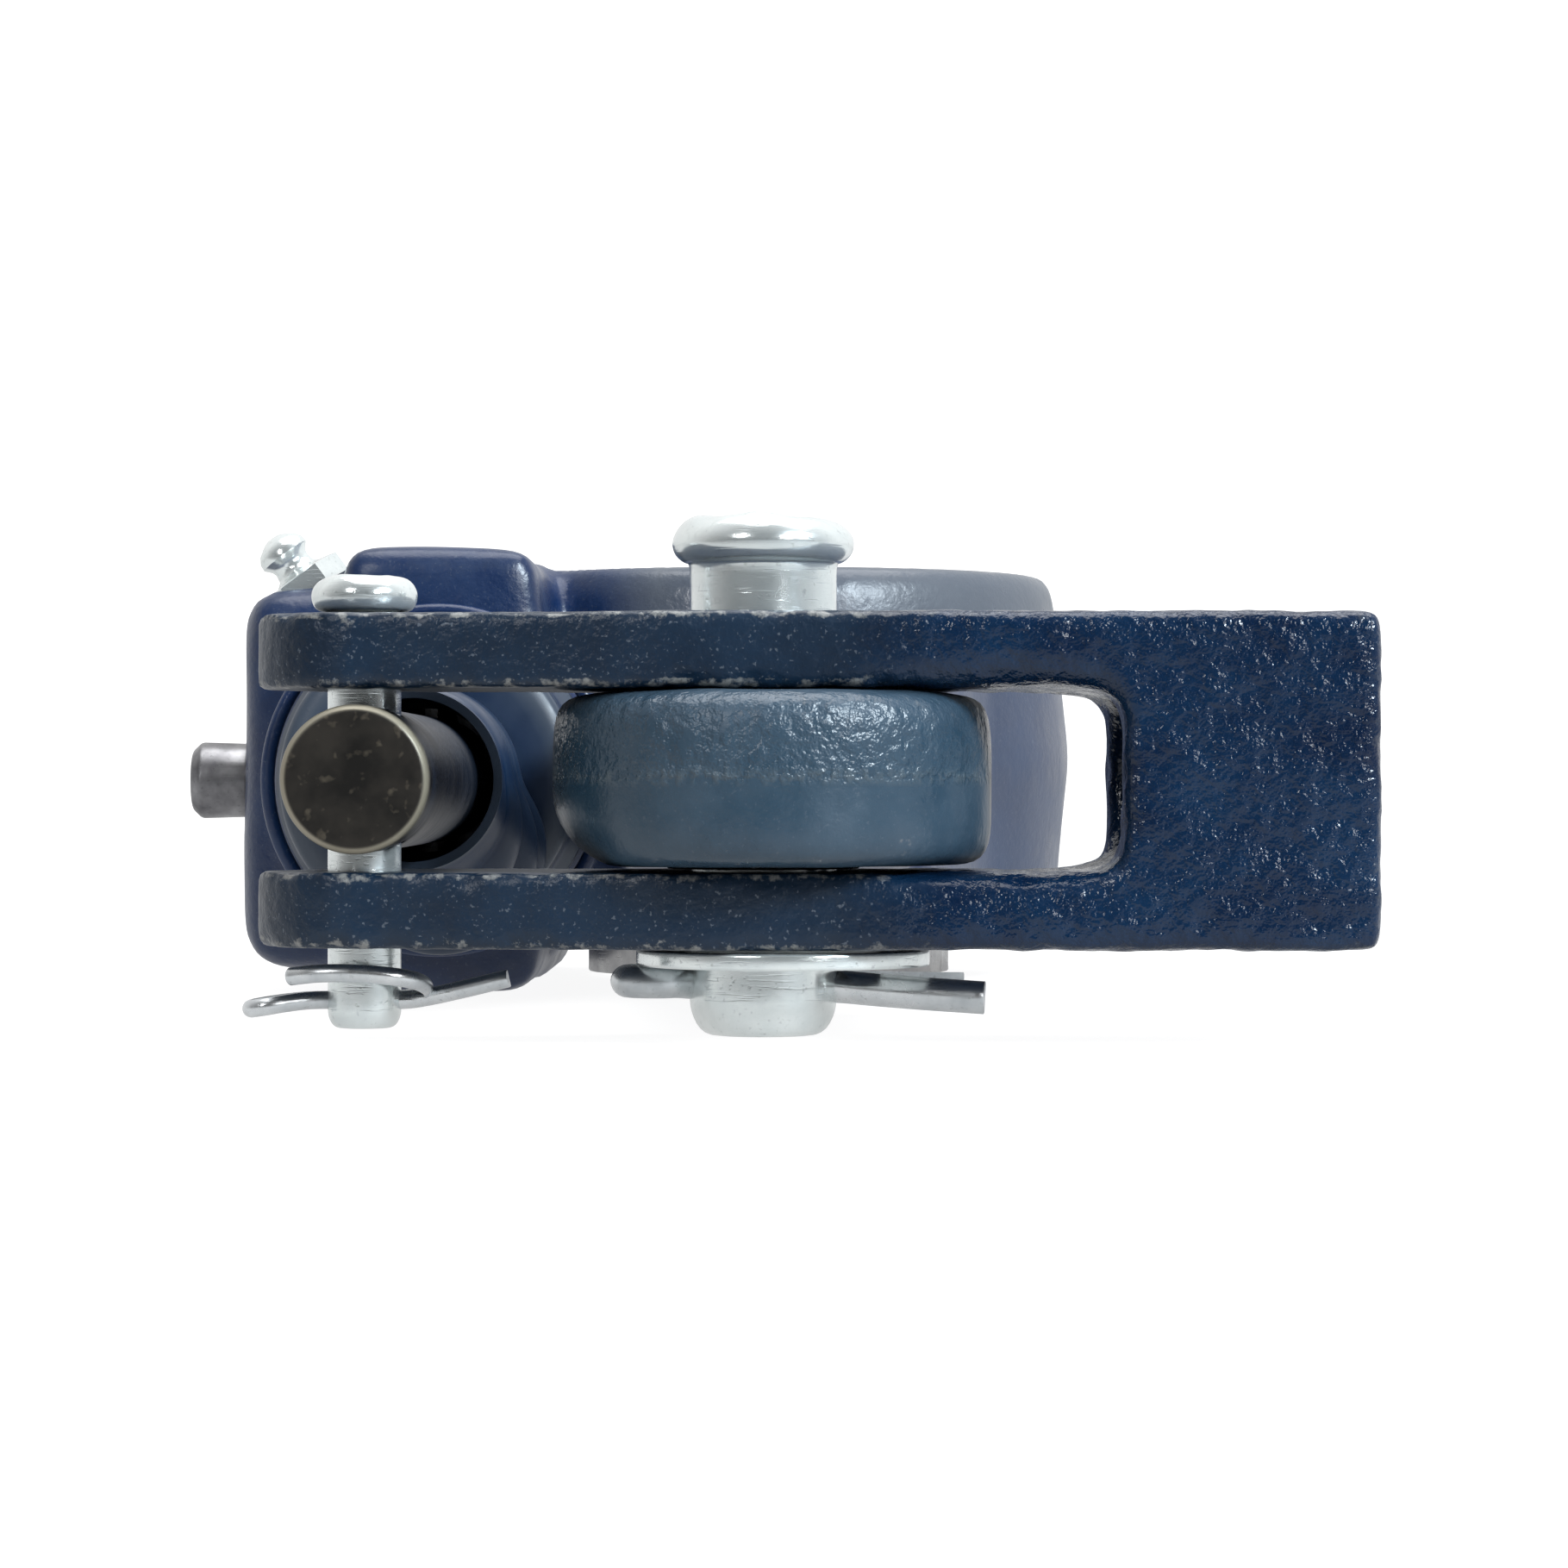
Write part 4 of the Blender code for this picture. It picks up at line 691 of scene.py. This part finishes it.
skin_grain.links.new(spread(skin_grain, fine, 0.64, 0.72), out.inputs["Speck"])


def mapped_position(tree, axis, low, high):
    """0 to 1 as the place along an axis goes from low to high."""
    parts = tree.nodes.new("ShaderNodeSeparateXYZ")
    tree.links.new(object_place(tree), parts.inputs[0])
    return spread(tree, parts.outputs[axis], low, high)


forged, tree, shader = new_finish("navy_paint_on_forging")
marks = place_group(tree, scuffs, Patch_Size=110.0, Pit_Size=1500.0)
worn = place_group(tree, edge_wear, Amount=0.34, Grain=500.0)
at_eye = mapped_position(tree, "Y", PIN.y + 8 * MM, PIN.y + 3 * MM)
above = mapped_position(tree, "Z", PIN.z - 0.2 * MM, PIN.z + 0.5 * MM)
rough_half = maths(tree, "MULTIPLY", at_eye, above)
grain = place_group(tree, skin_grain, Peel=0.3, Pitting=0.5)
tree.links.new(spread(tree, rough_half, 0.0, 1.0, 0.25, 1.3), grain.inputs["Pitting"])
navy = tint(tree, marks.outputs["Patches"], (0.001, 0.012, 0.055), (0.002, 0.020, 0.075))
slate = tint(tree, marks.outputs["Patches"], (0.018, 0.044, 0.072), (0.034, 0.064, 0.096))
base = tint(tree, at_eye, navy, slate)
# Far back along the arm and to the right, the case is painted grey: a painted reflection of the white walls.
# It is weaker below 39 mm, a painted shade in the slot.
painted_grey_reflection = mapped_position(tree, "Y", PIN.y + 95 * MM, PIN.y + 110 * MM)
painted_grey_reflection = maths(tree, "MULTIPLY", painted_grey_reflection, mapped_position(tree, "X", PIN.x - 18.5 * MM, PIN.x - 12 * MM))
shaded = spread(tree, mapped_position(tree, "Z", 34 * MM, 39 * MM), 0.0, 1.0, 0.4, 1.0)
base = tint(tree, maths(tree, "MULTIPLY", painted_grey_reflection, shaded), base, (0.085, 0.098, 0.12))
base = tint(tree, maths(tree, "MULTIPLY", worn.outputs["Thin"], 0.25), base, (0.06, 0.075, 0.10))
speckled = maths(tree, "MULTIPLY", grain.outputs["Speck"], 0.2)
base = tint(tree, speckled, base, (0.12, 0.14, 0.17))
base = tint(tree, maths(tree, "MULTIPLY", worn.outputs["Mask"], at_eye), base, (0.16, 0.17, 0.18))
tree.links.new(base, shader.inputs["Base Color"])
rough = spread(tree, marks.outputs["Patches"], 0.0, 1.0, 0.26, 0.4)
tree.links.new(rough, shader.inputs["Roughness"])
line = mapped_position(tree, "Z", PIN.z - 0.9 * MM, PIN.z + 0.9 * MM)
line = maths(tree, "SUBTRACT", 1.0, maths(tree, "ABSOLUTE", maths(tree, "MULTIPLY_ADD", line, 2.0, -1.0)))
grainy = noise(tree, object_place(tree), 1100.0, 2.0, 0.6)
line = maths(tree, "MULTIPLY", maths(tree, "MULTIPLY", line, at_eye), spread(tree, grainy, 0.42, 0.62))
bump(tree, shader, maths(tree, "ADD", grain.outputs["Height"], line), 0.8, 0.00014)
# Along the parting line the colour is also painted lighter: a painted highlight on the ridge.
bright = tint(tree, maths(tree, "MULTIPLY", line, 0.5), base, (0.10, 0.125, 0.14))
tree.links.new(bright, shader.inputs["Base Color"])
finished(casting, "housing", forged, "navy_paint", "housing")


# ---------------------------------------------------------------- clevis
# A forked steel forging, flame cut and ground: the arms keep a dull scaly skin with ragged, chipped
# edges, and the block at the closed end is thick with glossy paint that has crinkled over the scale.

fork = remeshed("clevis", "clevis_forging", 0.5 * MM)
ends = edge_ends(fork.data)
points = places(fork.data)
fork_low, fork_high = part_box("clevis")
block = smoothstep(PIN.x + 6 * MM, PIN.x + 17 * MM, points[:, 0])
pin_far = np.hypot(points[:, 0] - PIN.x, points[:, 1] - PIN.y)
small_far = np.hypot(points[:, 0] - SMALL.x, points[:, 1] - SMALL.y)
off_bores = smoothstep(6.8 * MM, 7.6 * MM, pin_far) * smoothstep(3.6 * MM, 4.4 * MM, small_far)
share = (0.12 + 0.6 * block) * off_bores
points = relaxed(points, ends, 12, share[:, None])
rim = smoothstep(PIN.x + 9 * MM, PIN.x + 14 * MM, points[:, 0]) * smoothstep(36 * MM, 33 * MM, points[:, 0])
rim = rim * smoothstep(11 * MM, 9.5 * MM, np.abs(points[:, 2] - (fork_low.z + fork_high.z) / 2))
points = relaxed(points, ends, 45, 0.7 * rim[:, None])
fork.data.vertices.foreach_set("co", points.ravel())
fork.data.update()
wear_and_highlight = exposure(fork.data, points, ends, 0.075 * MM)
normal = outward(fork.data)
crinkle = lumps(points, 2.1 * MM, 4) * 0.14 + lumps(points, 1.1 * MM, 6) * 0.06
crinkle = crinkle + lumps(points, 6 * MM, 8) * 0.07
scale_skin = lumps(points, 1.0 * MM, 9) * 0.025 + lumps(points, 9 * MM, 10) * 0.05
ragged = -np.clip(lumps(points, 2.2 * MM, 11) + 0.25 * lumps(points, 0.8 * MM, 12), 0, 1) * wear_and_highlight * 0.4
height = block * crinkle + (1 - block) * (scale_skin + ragged)
points = points + normal * (height * off_bores * MM)[:, None]
write_shape(fork, points, wear_and_highlight)

cut_paint, tree, shader = new_finish("navy_paint_on_clevis")
marks = place_group(tree, scuffs, Patch_Size=130.0, Pit_Size=1700.0)
worn = place_group(tree, edge_wear, Amount=0.5, Grain=700.0)
on_block = mapped_position(tree, "X", PIN.x + 6 * MM, PIN.x + 16 * MM)
grain = place_group(tree, skin_grain, Peel=0.5, Pitting=0.6)
arm_colour = tint(tree, marks.outputs["Patches"], (0.001, 0.010, 0.026), (0.003, 0.016, 0.038))
arm_colour = tint(tree, maths(tree, "MULTIPLY", grain.outputs["Speck"], 0.5), arm_colour, (0.13, 0.15, 0.18))
block_colour = tint(tree, marks.outputs["Patches"], (0.001, 0.008, 0.028), (0.003, 0.018, 0.050))
base = tint(tree, on_block, arm_colour, block_colour)
chips = maths(tree, "MULTIPLY", worn.outputs["Mask"], spread(tree, on_block, 0.0, 1.0, 0.8, 0.15))
base = tint(tree, chips, base, (0.24, 0.24, 0.23))
tree.links.new(base, shader.inputs["Base Color"])
tree.links.new(spread(tree, on_block, 0.0, 1.0, 0.36, 0.2), shader.inputs["Roughness"])
shader.inputs["Specular IOR Level"].default_value = 0.4
tree.links.new(spread(tree, on_block, 0.0, 1.0, 0.6, 1.5), grain.inputs["Pitting"])
bump(tree, shader, grain.outputs["Height"], 0.8, 0.00012)
finished(fork, "clevis", cut_paint, "navy_paint", "clevis")


# ---------------------------------------------------------------- actuator rod
# A turned steel bar, blackened, with a chamfered end whose rim is painted lighter as a painted
# highlight. The clevis pin passes through a cross hole near that end, and behind the hole the bar
# has been painted over.

oxide, tree, shader = new_finish("black_oxide_with_painted_rim_highlight")
marks = place_group(tree, scuffs, Patch_Size=220.0, Pit_Size=900.0)
rim_highlight = tree.nodes.new("ShaderNodeAttribute")
rim_highlight.attribute_name = "wear_and_highlight"
base = tint(tree, marks.outputs["Patches"], (0.010, 0.009, 0.008), (0.022, 0.018, 0.014))
base = tint(tree, maths(tree, "MULTIPLY", marks.outputs["Pits"], 0.18), base, (0.3, 0.25, 0.18))
inner = mapped_position(tree, "Y", PIN.y - 7.0 * MM, PIN.y - 5.0 * MM)
base = tint(tree, inner, base, (0.003, 0.007, 0.016))
# The chamfer's rim is painted light brown: a painted highlight.
base = tint(tree, rim_highlight.outputs["Fac"], base, (0.34, 0.31, 0.24))
tree.links.new(base, shader.inputs["Base Color"])
tree.links.new(spread(tree, marks.outputs["Patches"], 0.0, 1.0, 0.35, 0.5), shader.inputs["Roughness"])
tree.links.new(spread(tree, inner, 0.0, 1.0, 0.5, 0.0), shader.inputs["Metallic"])
bump(tree, shader, marks.outputs["Pits"], 0.4, 0.00005)

rod_low, rod_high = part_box("actuator_rod")
ROD = (rod_low + rod_high) / 2
radius = (rod_high.x - rod_low.x) / 2
outline = [
    (0, rod_high.y),
    (radius * 0.88, rod_high.y),
    (radius, rod_high.y - 0.7 * MM),
    (radius, rod_low.y + 0.55 * MM),
    (radius - 0.5 * MM, rod_low.y),
    (0, rod_low.y),
]
profile = divided(softened(outline, 0.25 * MM), 1.4 * MM)
bar = surface("actuator_rod_turned", lathe(profile, (ROD.x, 0, ROD.z), "Y", 96))
CROSS_HOLE = 3.5 * MM
drill_outline = np.array([(0, 50), (CROSS_HOLE / MM, 50), (CROSS_HOLE / MM, -50), (0, -50)]) * MM
drill = surface("rod_drill", lathe(drill_outline, (SMALL.x, SMALL.y, ROD.z), "Z", 48))


def drilled(obj, tool):
    """The object with the tool's shape cut out of it, as plain mesh. The tool is removed."""
    step = obj.modifiers.new("drilled", "BOOLEAN")
    step.operation = "DIFFERENCE"
    step.solver = "EXACT"
    step.object = tool
    bpy.context.view_layer.update()
    graph = bpy.context.evaluated_depsgraph_get()
    mesh = bpy.data.meshes.new_from_object(obj.evaluated_get(graph))
    obj.modifiers.clear()
    obj.data = mesh
    bpy.data.objects.remove(tool)


drilled(bar, drill)
points = places(bar.data)
far = np.hypot(points[:, 0] - ROD.x, points[:, 2] - ROD.z)
near_end = smoothstep(1.2 * MM, 0.2 * MM, points[:, 1] - rod_low.y)
# The painted highlight covers the outer edge of the chamfered end.
rim = smoothstep(radius - 0.6 * MM, radius - 0.3 * MM, far) * near_end
stored = bar.data.attributes.new("wear_and_highlight", "FLOAT", "POINT")
stored.data.foreach_set("value", (rim * 0.85).astype(np.float32))
finished(bar, "rod", oxide, "black_oxide", "actuator_rod")


# ---------------------------------------------------------------- boot and clamp
# A moulded rubber bellows, clipped over the collar with a wire clamp and painted over with the
# housing. Its folds have gone slack and hang below the rod.

rubber, tree, shader = new_finish("boot_rubber")
marks = place_group(tree, scuffs, Patch_Size=140.0, Pit_Size=1300.0)
base = tint(tree, marks.outputs["Patches"], (0.002, 0.014, 0.045), (0.004, 0.020, 0.055))
crest_highlight = tree.nodes.new("ShaderNodeAttribute")
crest_highlight.attribute_name = "wear_and_highlight"
# The fold crests are painted lighter: a painted highlight on each roll.
base = tint(tree, crest_highlight.outputs["Fac"], base, (0.035, 0.05, 0.075))
tree.links.new(base, shader.inputs["Base Color"])
tree.links.new(spread(tree, marks.outputs["Patches"], 0.0, 1.0, 0.3, 0.5), shader.inputs["Roughness"])
bump(tree, shader, marks.outputs["Pits"], 0.15, 0.00005)

boot_low, boot_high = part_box("boot")
boot_mid = (boot_low + boot_high) / 2


def bellows(wall=0.0, columns=120):
    """A skirt over the collar, a flat face that turns in to the neck, three rolled folds that hang
    below the rod and grow smaller towards the lip. Each row is a height and the share of the sag; in
    direction u the sagging outline is a circle whose middle lies below the rod."""
    u = np.linspace(0, 2 * np.pi, columns, endpoint=False)[None]
    neck, sag_radius, across, drop = 8.9 * MM, 9.6 * MM, 2.2 * MM, -7.4 * MM
    reach = across * np.cos(u) + drop * np.sin(u)
    hanging = reach + np.sqrt(sag_radius**2 - across**2 - drop**2 + reach**2)
    bulge = np.log1p(np.exp((hanging - neck) / (0.8 * MM))) * 0.8 * MM
    front = boot_high.y - 16.0 * MM
    skirt = [(16.5, boot_high.y), (16.5, boot_high.y - 6 * MM), (15.6, boot_high.y - 7 * MM)]
    skirt += [(15.2, front + (1 - t) * 8 * MM) for t in np.linspace(0, 0.9, 8)]
    skirt += [(15.0, front + 0.4 * MM), (14.6, front)]
    skirt += [(r, front - 0.25 * MM) for r in (13.5, 12, 10.5, 9.2, 8.2)]
    plain = np.array([radius for radius, _ in skirt])[:, None] * MM + 0 * u
    rows, places_along = [plain], [np.array([y for _, y in skirt])[:, None] + 0 * u]
    length = front - 0.6 * MM - boot_low.y
    t = np.linspace(0, 1, 96)[:, None]
    fade = 1 - 0.22 * np.floor(np.clip(t / 0.28, 0, 2.99))
    roll = np.abs(np.sin(np.pi * t / 0.28)) ** 0.55
    fold = np.where(t < 0.84, (0.3 + 0.7 * roll) * fade, 0.25 * (1 - t) / 0.16)
    ripple = 1 + 0.10 * np.sin(3 * u + 9 * t) * smoothstep(0.05, 0.2, t)
    rows.append(neck + bulge * fold * ripple * smoothstep(0, 0.04, t) + 0.7 * MM * roll * (t < 0.84))
    places_along.append(front - 0.6 * MM - length * t - 1.0 * MM * np.sin(u) * np.sin(np.pi * t) ** 2)
    radius = np.concatenate(rows) - wall
    y = np.concatenate(places_along)
    y = y + wall * (y < boot_high.y - 7.5 * MM)
    x = boot_mid.x + radius * np.cos(u)
    z = boot_mid.z + radius * np.sin(u)
    return np.stack([x, y, z], axis=-1)


sagging = surface("boot_bellows", np.concatenate([bellows(), bellows(0.9 * MM)[::-1]]), ring=True)
points, ends = places(sagging.data), edge_ends(sagging.data)
# The crests' mask, stored for the painted highlight on the folds.
crest_highlight_mask = exposure(sagging.data, points, ends, 0.12 * MM)
write_shape(sagging, points, crest_highlight_mask)
sagging.data.materials.append(rubber)
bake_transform(sagging)
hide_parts("boot")

clamp_low, clamp_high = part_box("boot_clamp")
clamp_mid = (clamp_low + clamp_high) / 2
CLAMP_WIRE = 0.75 * MM
clamp_radius = (clamp_high.x - clamp_low.x) / 2 - CLAMP_WIRE - 0.05 * MM
angle = np.linspace(0, 2 * np.pi, 16, endpoint=False)
profile = CLAMP_WIRE * np.stack([np.cos(angle), np.sin(angle)], axis=1) + (clamp_radius, clamp_mid.y)
hoop = surface("boot_clamp_wire", lathe(profile, (clamp_mid.x, 0, clamp_mid.z), "Y", 96), ring=True)
finished(hoop, "housing", forged, "navy_paint", "boot_clamp")


# ---------------------------------------------------------------- pull pawl and cap
# The pawl's button is turned steel gone dull, on a stem through a screwed cap. The toothed plunger is
# inside the boss.

dull_steel = plated("dull_dark_steel", (0.30, 0.30, 0.31), (0.13, 0.13, 0.14), 0.3, 0.5)
pawl_low, pawl_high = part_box("pawl")
PAWL = (pawl_low + pawl_high) / 2
button_face = pawl_low.x
outline = [
    (0, pawl_high.x - 0.9 * MM),
    (4.3 * MM, pawl_high.x - 0.9 * MM),
    (4.3 * MM, pawl_high.x - 4.0 * MM),
    (2.2 * MM, pawl_high.x - 4.0 * MM),
    (2.2 * MM, button_face + 6.3 * MM),
    (4.0 * MM, button_face + 6.3 * MM),
    (4.15 * MM, button_face + 1.0 * MM),
    (3.2 * MM, button_face),
    (0, button_face),
]
profile = divided(softened(outline, 0.35 * MM), 1.5 * MM)
button = surface("pawl_turned", lathe(profile, (0, PAWL.y, PAWL.z), "X", 72))
finished(button, "pawl", dull_steel, "dark_steel", "pawl")

cap_low, cap_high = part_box("pawl_cap")
turned_ring(
    "pawl_cap_turned",
    ring_outline(2.5 * MM, (cap_high.y - cap_low.y) / 2, cap_low.x, cap_high.x),
    (0, PAWL.y, PAWL.z),
    "X",
    dull_steel,
    "housing",
    "dark_steel",
    "pawl_cap",
)


# ---------------------------------------------------------------- grease fitting
# A plated nipple: threaded shank, hexagon, waist and a rounded head with a ball in its tip.

fitting_low, fitting_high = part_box("grease_fitting")
tilt = math.radians(53)
lean = np.array([-math.cos(tilt), 0, math.sin(tilt)])
fitting_y = (fitting_low.y + fitting_high.y) / 2
fitting_head = np.array([fitting_low.x + 1.9 * MM, fitting_y, fitting_high.z - 1.5 * MM])
tip = fitting_head - lean * 0.6 * MM
across = np.array([0, 1, 0.0])
third = np.cross(lean, across)


def nipple(columns=72):
    """Rows of (radius, distance down from the tip). Between the hexagon's rows the radius follows six
    flats instead of a circle."""
    head = [(0, -0.05, 0), (0.75, 0, 0), (1.1, 0.12, 0), (1.5, 0.35, 0), (2.3, 0.9, 0), (2.75, 1.6, 0)]
    waist = [(2.8, 2.3, 0), (2.2, 3.0, 0), (2.05, 3.5, 0), (2.2, 4.3, 0), (2.9, 4.9, 0)]
    spanner_flats = [(3.6, 5.0, 0.4), (4.0, 5.25, 1), (4.0, 7.5, 1), (3.7, 7.8, 0.4)]
    shank = [(2.9, 7.85, 0), (2.8, 8.6, 0), (2.8, 13.0, 0), (0, 13.1, 0)]
    rows = np.array(head + waist + spanner_flats + shank)
    u = np.linspace(0, 2 * np.pi, columns, endpoint=False)[None]
    hexagon = 1 / np.cos((u + np.pi / 6) % (np.pi / 3) - np.pi / 6)
    radius = rows[:, 0:1] * (1 + (hexagon - 1) * rows[:, 2:3]) * MM
    down = rows[:, 1:2] * MM + 0 * u
    sideways = (radius * np.cos(u))[..., None] * across + (radius * np.sin(u))[..., None] * third
    return tip - lean * down[..., None] + sideways


fitting = surface("grease_fitting_turned", nipple())
finished(fitting, "housing", zinc, "zinc_plate", "grease_fitting")


# ---------------------------------------------------------------- gear cover and snap ring
# A turned, plated cover over the worm gear, held by a flat snap ring in the case's groove.

cover_low, cover_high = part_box("gear_cover")
cover_radius = (cover_high.x - cover_low.x) / 2
COVER_BORE = 21.4 * MM
cover_top = cover_high.z
groove_z = cover_top - 0.5 * MM
outline = ring_outline(COVER_BORE, cover_radius, cover_low.z, cover_top)
outline += [(23.2 * MM, cover_top), (23.9 * MM, groove_z), (25.2 * MM, groove_z), (25.9 * MM, cover_top)]
cover_base = (GEAR.x, GEAR.y, 0)
turned_ring("gear_cover_turned", outline, cover_base, "Z", zinc, "housing", "zinc_plate", "gear_cover")


def welded_copy(node, name, bevel):
    """The CAD node welded into one surface, with its edges bevelled."""
    shape = bmesh.new()
    shape.from_mesh(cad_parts[node].data)
    bmesh.ops.remove_doubles(shape, verts=shape.verts, dist=0.004 * MM)
    bmesh.ops.dissolve_limit(shape, angle_limit=math.radians(1), verts=shape.verts, edges=shape.edges)
    mesh = bpy.data.meshes.new(name)
    shape.to_mesh(mesh)
    shape.free()
    mesh.shade_smooth()
    obj = bpy.data.objects.new(name, mesh)
    bpy.context.scene.collection.objects.link(obj)
    edge = obj.modifiers.new("rounded edges", "BEVEL")
    edge.width = bevel
    edge.segments = 2
    edge.limit_method = "ANGLE"
    edge.angle_limit = math.radians(40)
    edge.harden_normals = True
    return obj


spring_steel = plated("spring_steel", (0.23, 0.23, 0.24), (0.12, 0.12, 0.125), 0.28, 0.45)
snap = welded_copy("gear_snap_ring", "gear_snap_ring_stamped", 0.2 * MM)
finished(snap, "housing", spring_steel, "spring_steel", "gear_snap_ring")

# ---------------------------------------------------------------- worm gear
# Hobbed steel gear with a hub on each side and a broached, splined bore.

gear = welded_copy("worm_gear", "worm_gear_broached", 0.25 * MM)
finished(gear, "gear", steel, "machined_steel", "worm_gear")

# ---------------------------------------------------------------- worm and adjusting train
# Turned and hobbed steel, seen only at the wrench end: worm, sleeve, piston and their rings.

screw = welded_copy("worm", "worm_hobbed", 0.2 * MM)
finished(screw, "worm", steel, "machined_steel", "worm")

black_rubber, tree, shader = new_finish("black_nitrile")
marks = place_group(tree, scuffs, Patch_Size=200.0, Pit_Size=1500.0)
base = tint(tree, marks.outputs["Patches"], (0.012, 0.012, 0.013), (0.025, 0.025, 0.027))
tree.links.new(base, shader.inputs["Base Color"])
tree.links.new(spread(tree, marks.outputs["Patches"], 0.0, 1.0, 0.45, 0.65), shader.inputs["Roughness"])


def dressed(node, finish):
    """Gives a CAD node that stays as it is its finish."""
    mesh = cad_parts[node].data
    mesh.materials.clear()
    mesh.materials.append(finish)


for node in ("gear_thrust_washer_lower", "gear_thrust_washer_upper", "worm_thrust_washer"):
    dressed(node, steel)
for node in ("adjusting_sleeve", "piston", "piston_cross_pin"):
    dressed(node, steel)
for node in ("gear_seal_lower", "gear_seal_upper", "worm_seal"):
    dressed(node, black_rubber)
for node in ("worm_snap_ring", "piston_retaining_ring"):
    dressed(node, spring_steel)

# ---------------------------------------------------------------- pawl spring
# Three turns of round spring wire between the cap and the pawl's shoulder.

spring_low, spring_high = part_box("pawl_spring")
SPRING_WIRE = 0.35 * MM
coil_radius = (spring_high.y - spring_low.y) / 2 - SPRING_WIRE
turn = np.linspace(0, 3 * 2 * np.pi, 160)
along = np.linspace(spring_low.x + SPRING_WIRE, spring_high.x - SPRING_WIRE, 160)
coil_path = np.stack([along, coil_radius * np.cos(turn), coil_radius * np.sin(turn)], axis=1)
coil_path = coil_path + (0, PAWL.y, PAWL.z)
angle = np.linspace(0, 2 * np.pi, 12, endpoint=False)
wire_section = SPRING_WIRE * np.stack([np.cos(angle), np.sin(angle)], axis=1)
coil = swept("pawl_spring_coiled", coil_path, wire_section, (1, 0, 0))
finished(coil, "housing", spring_steel, "spring_steel", "pawl_spring")
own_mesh(coil)
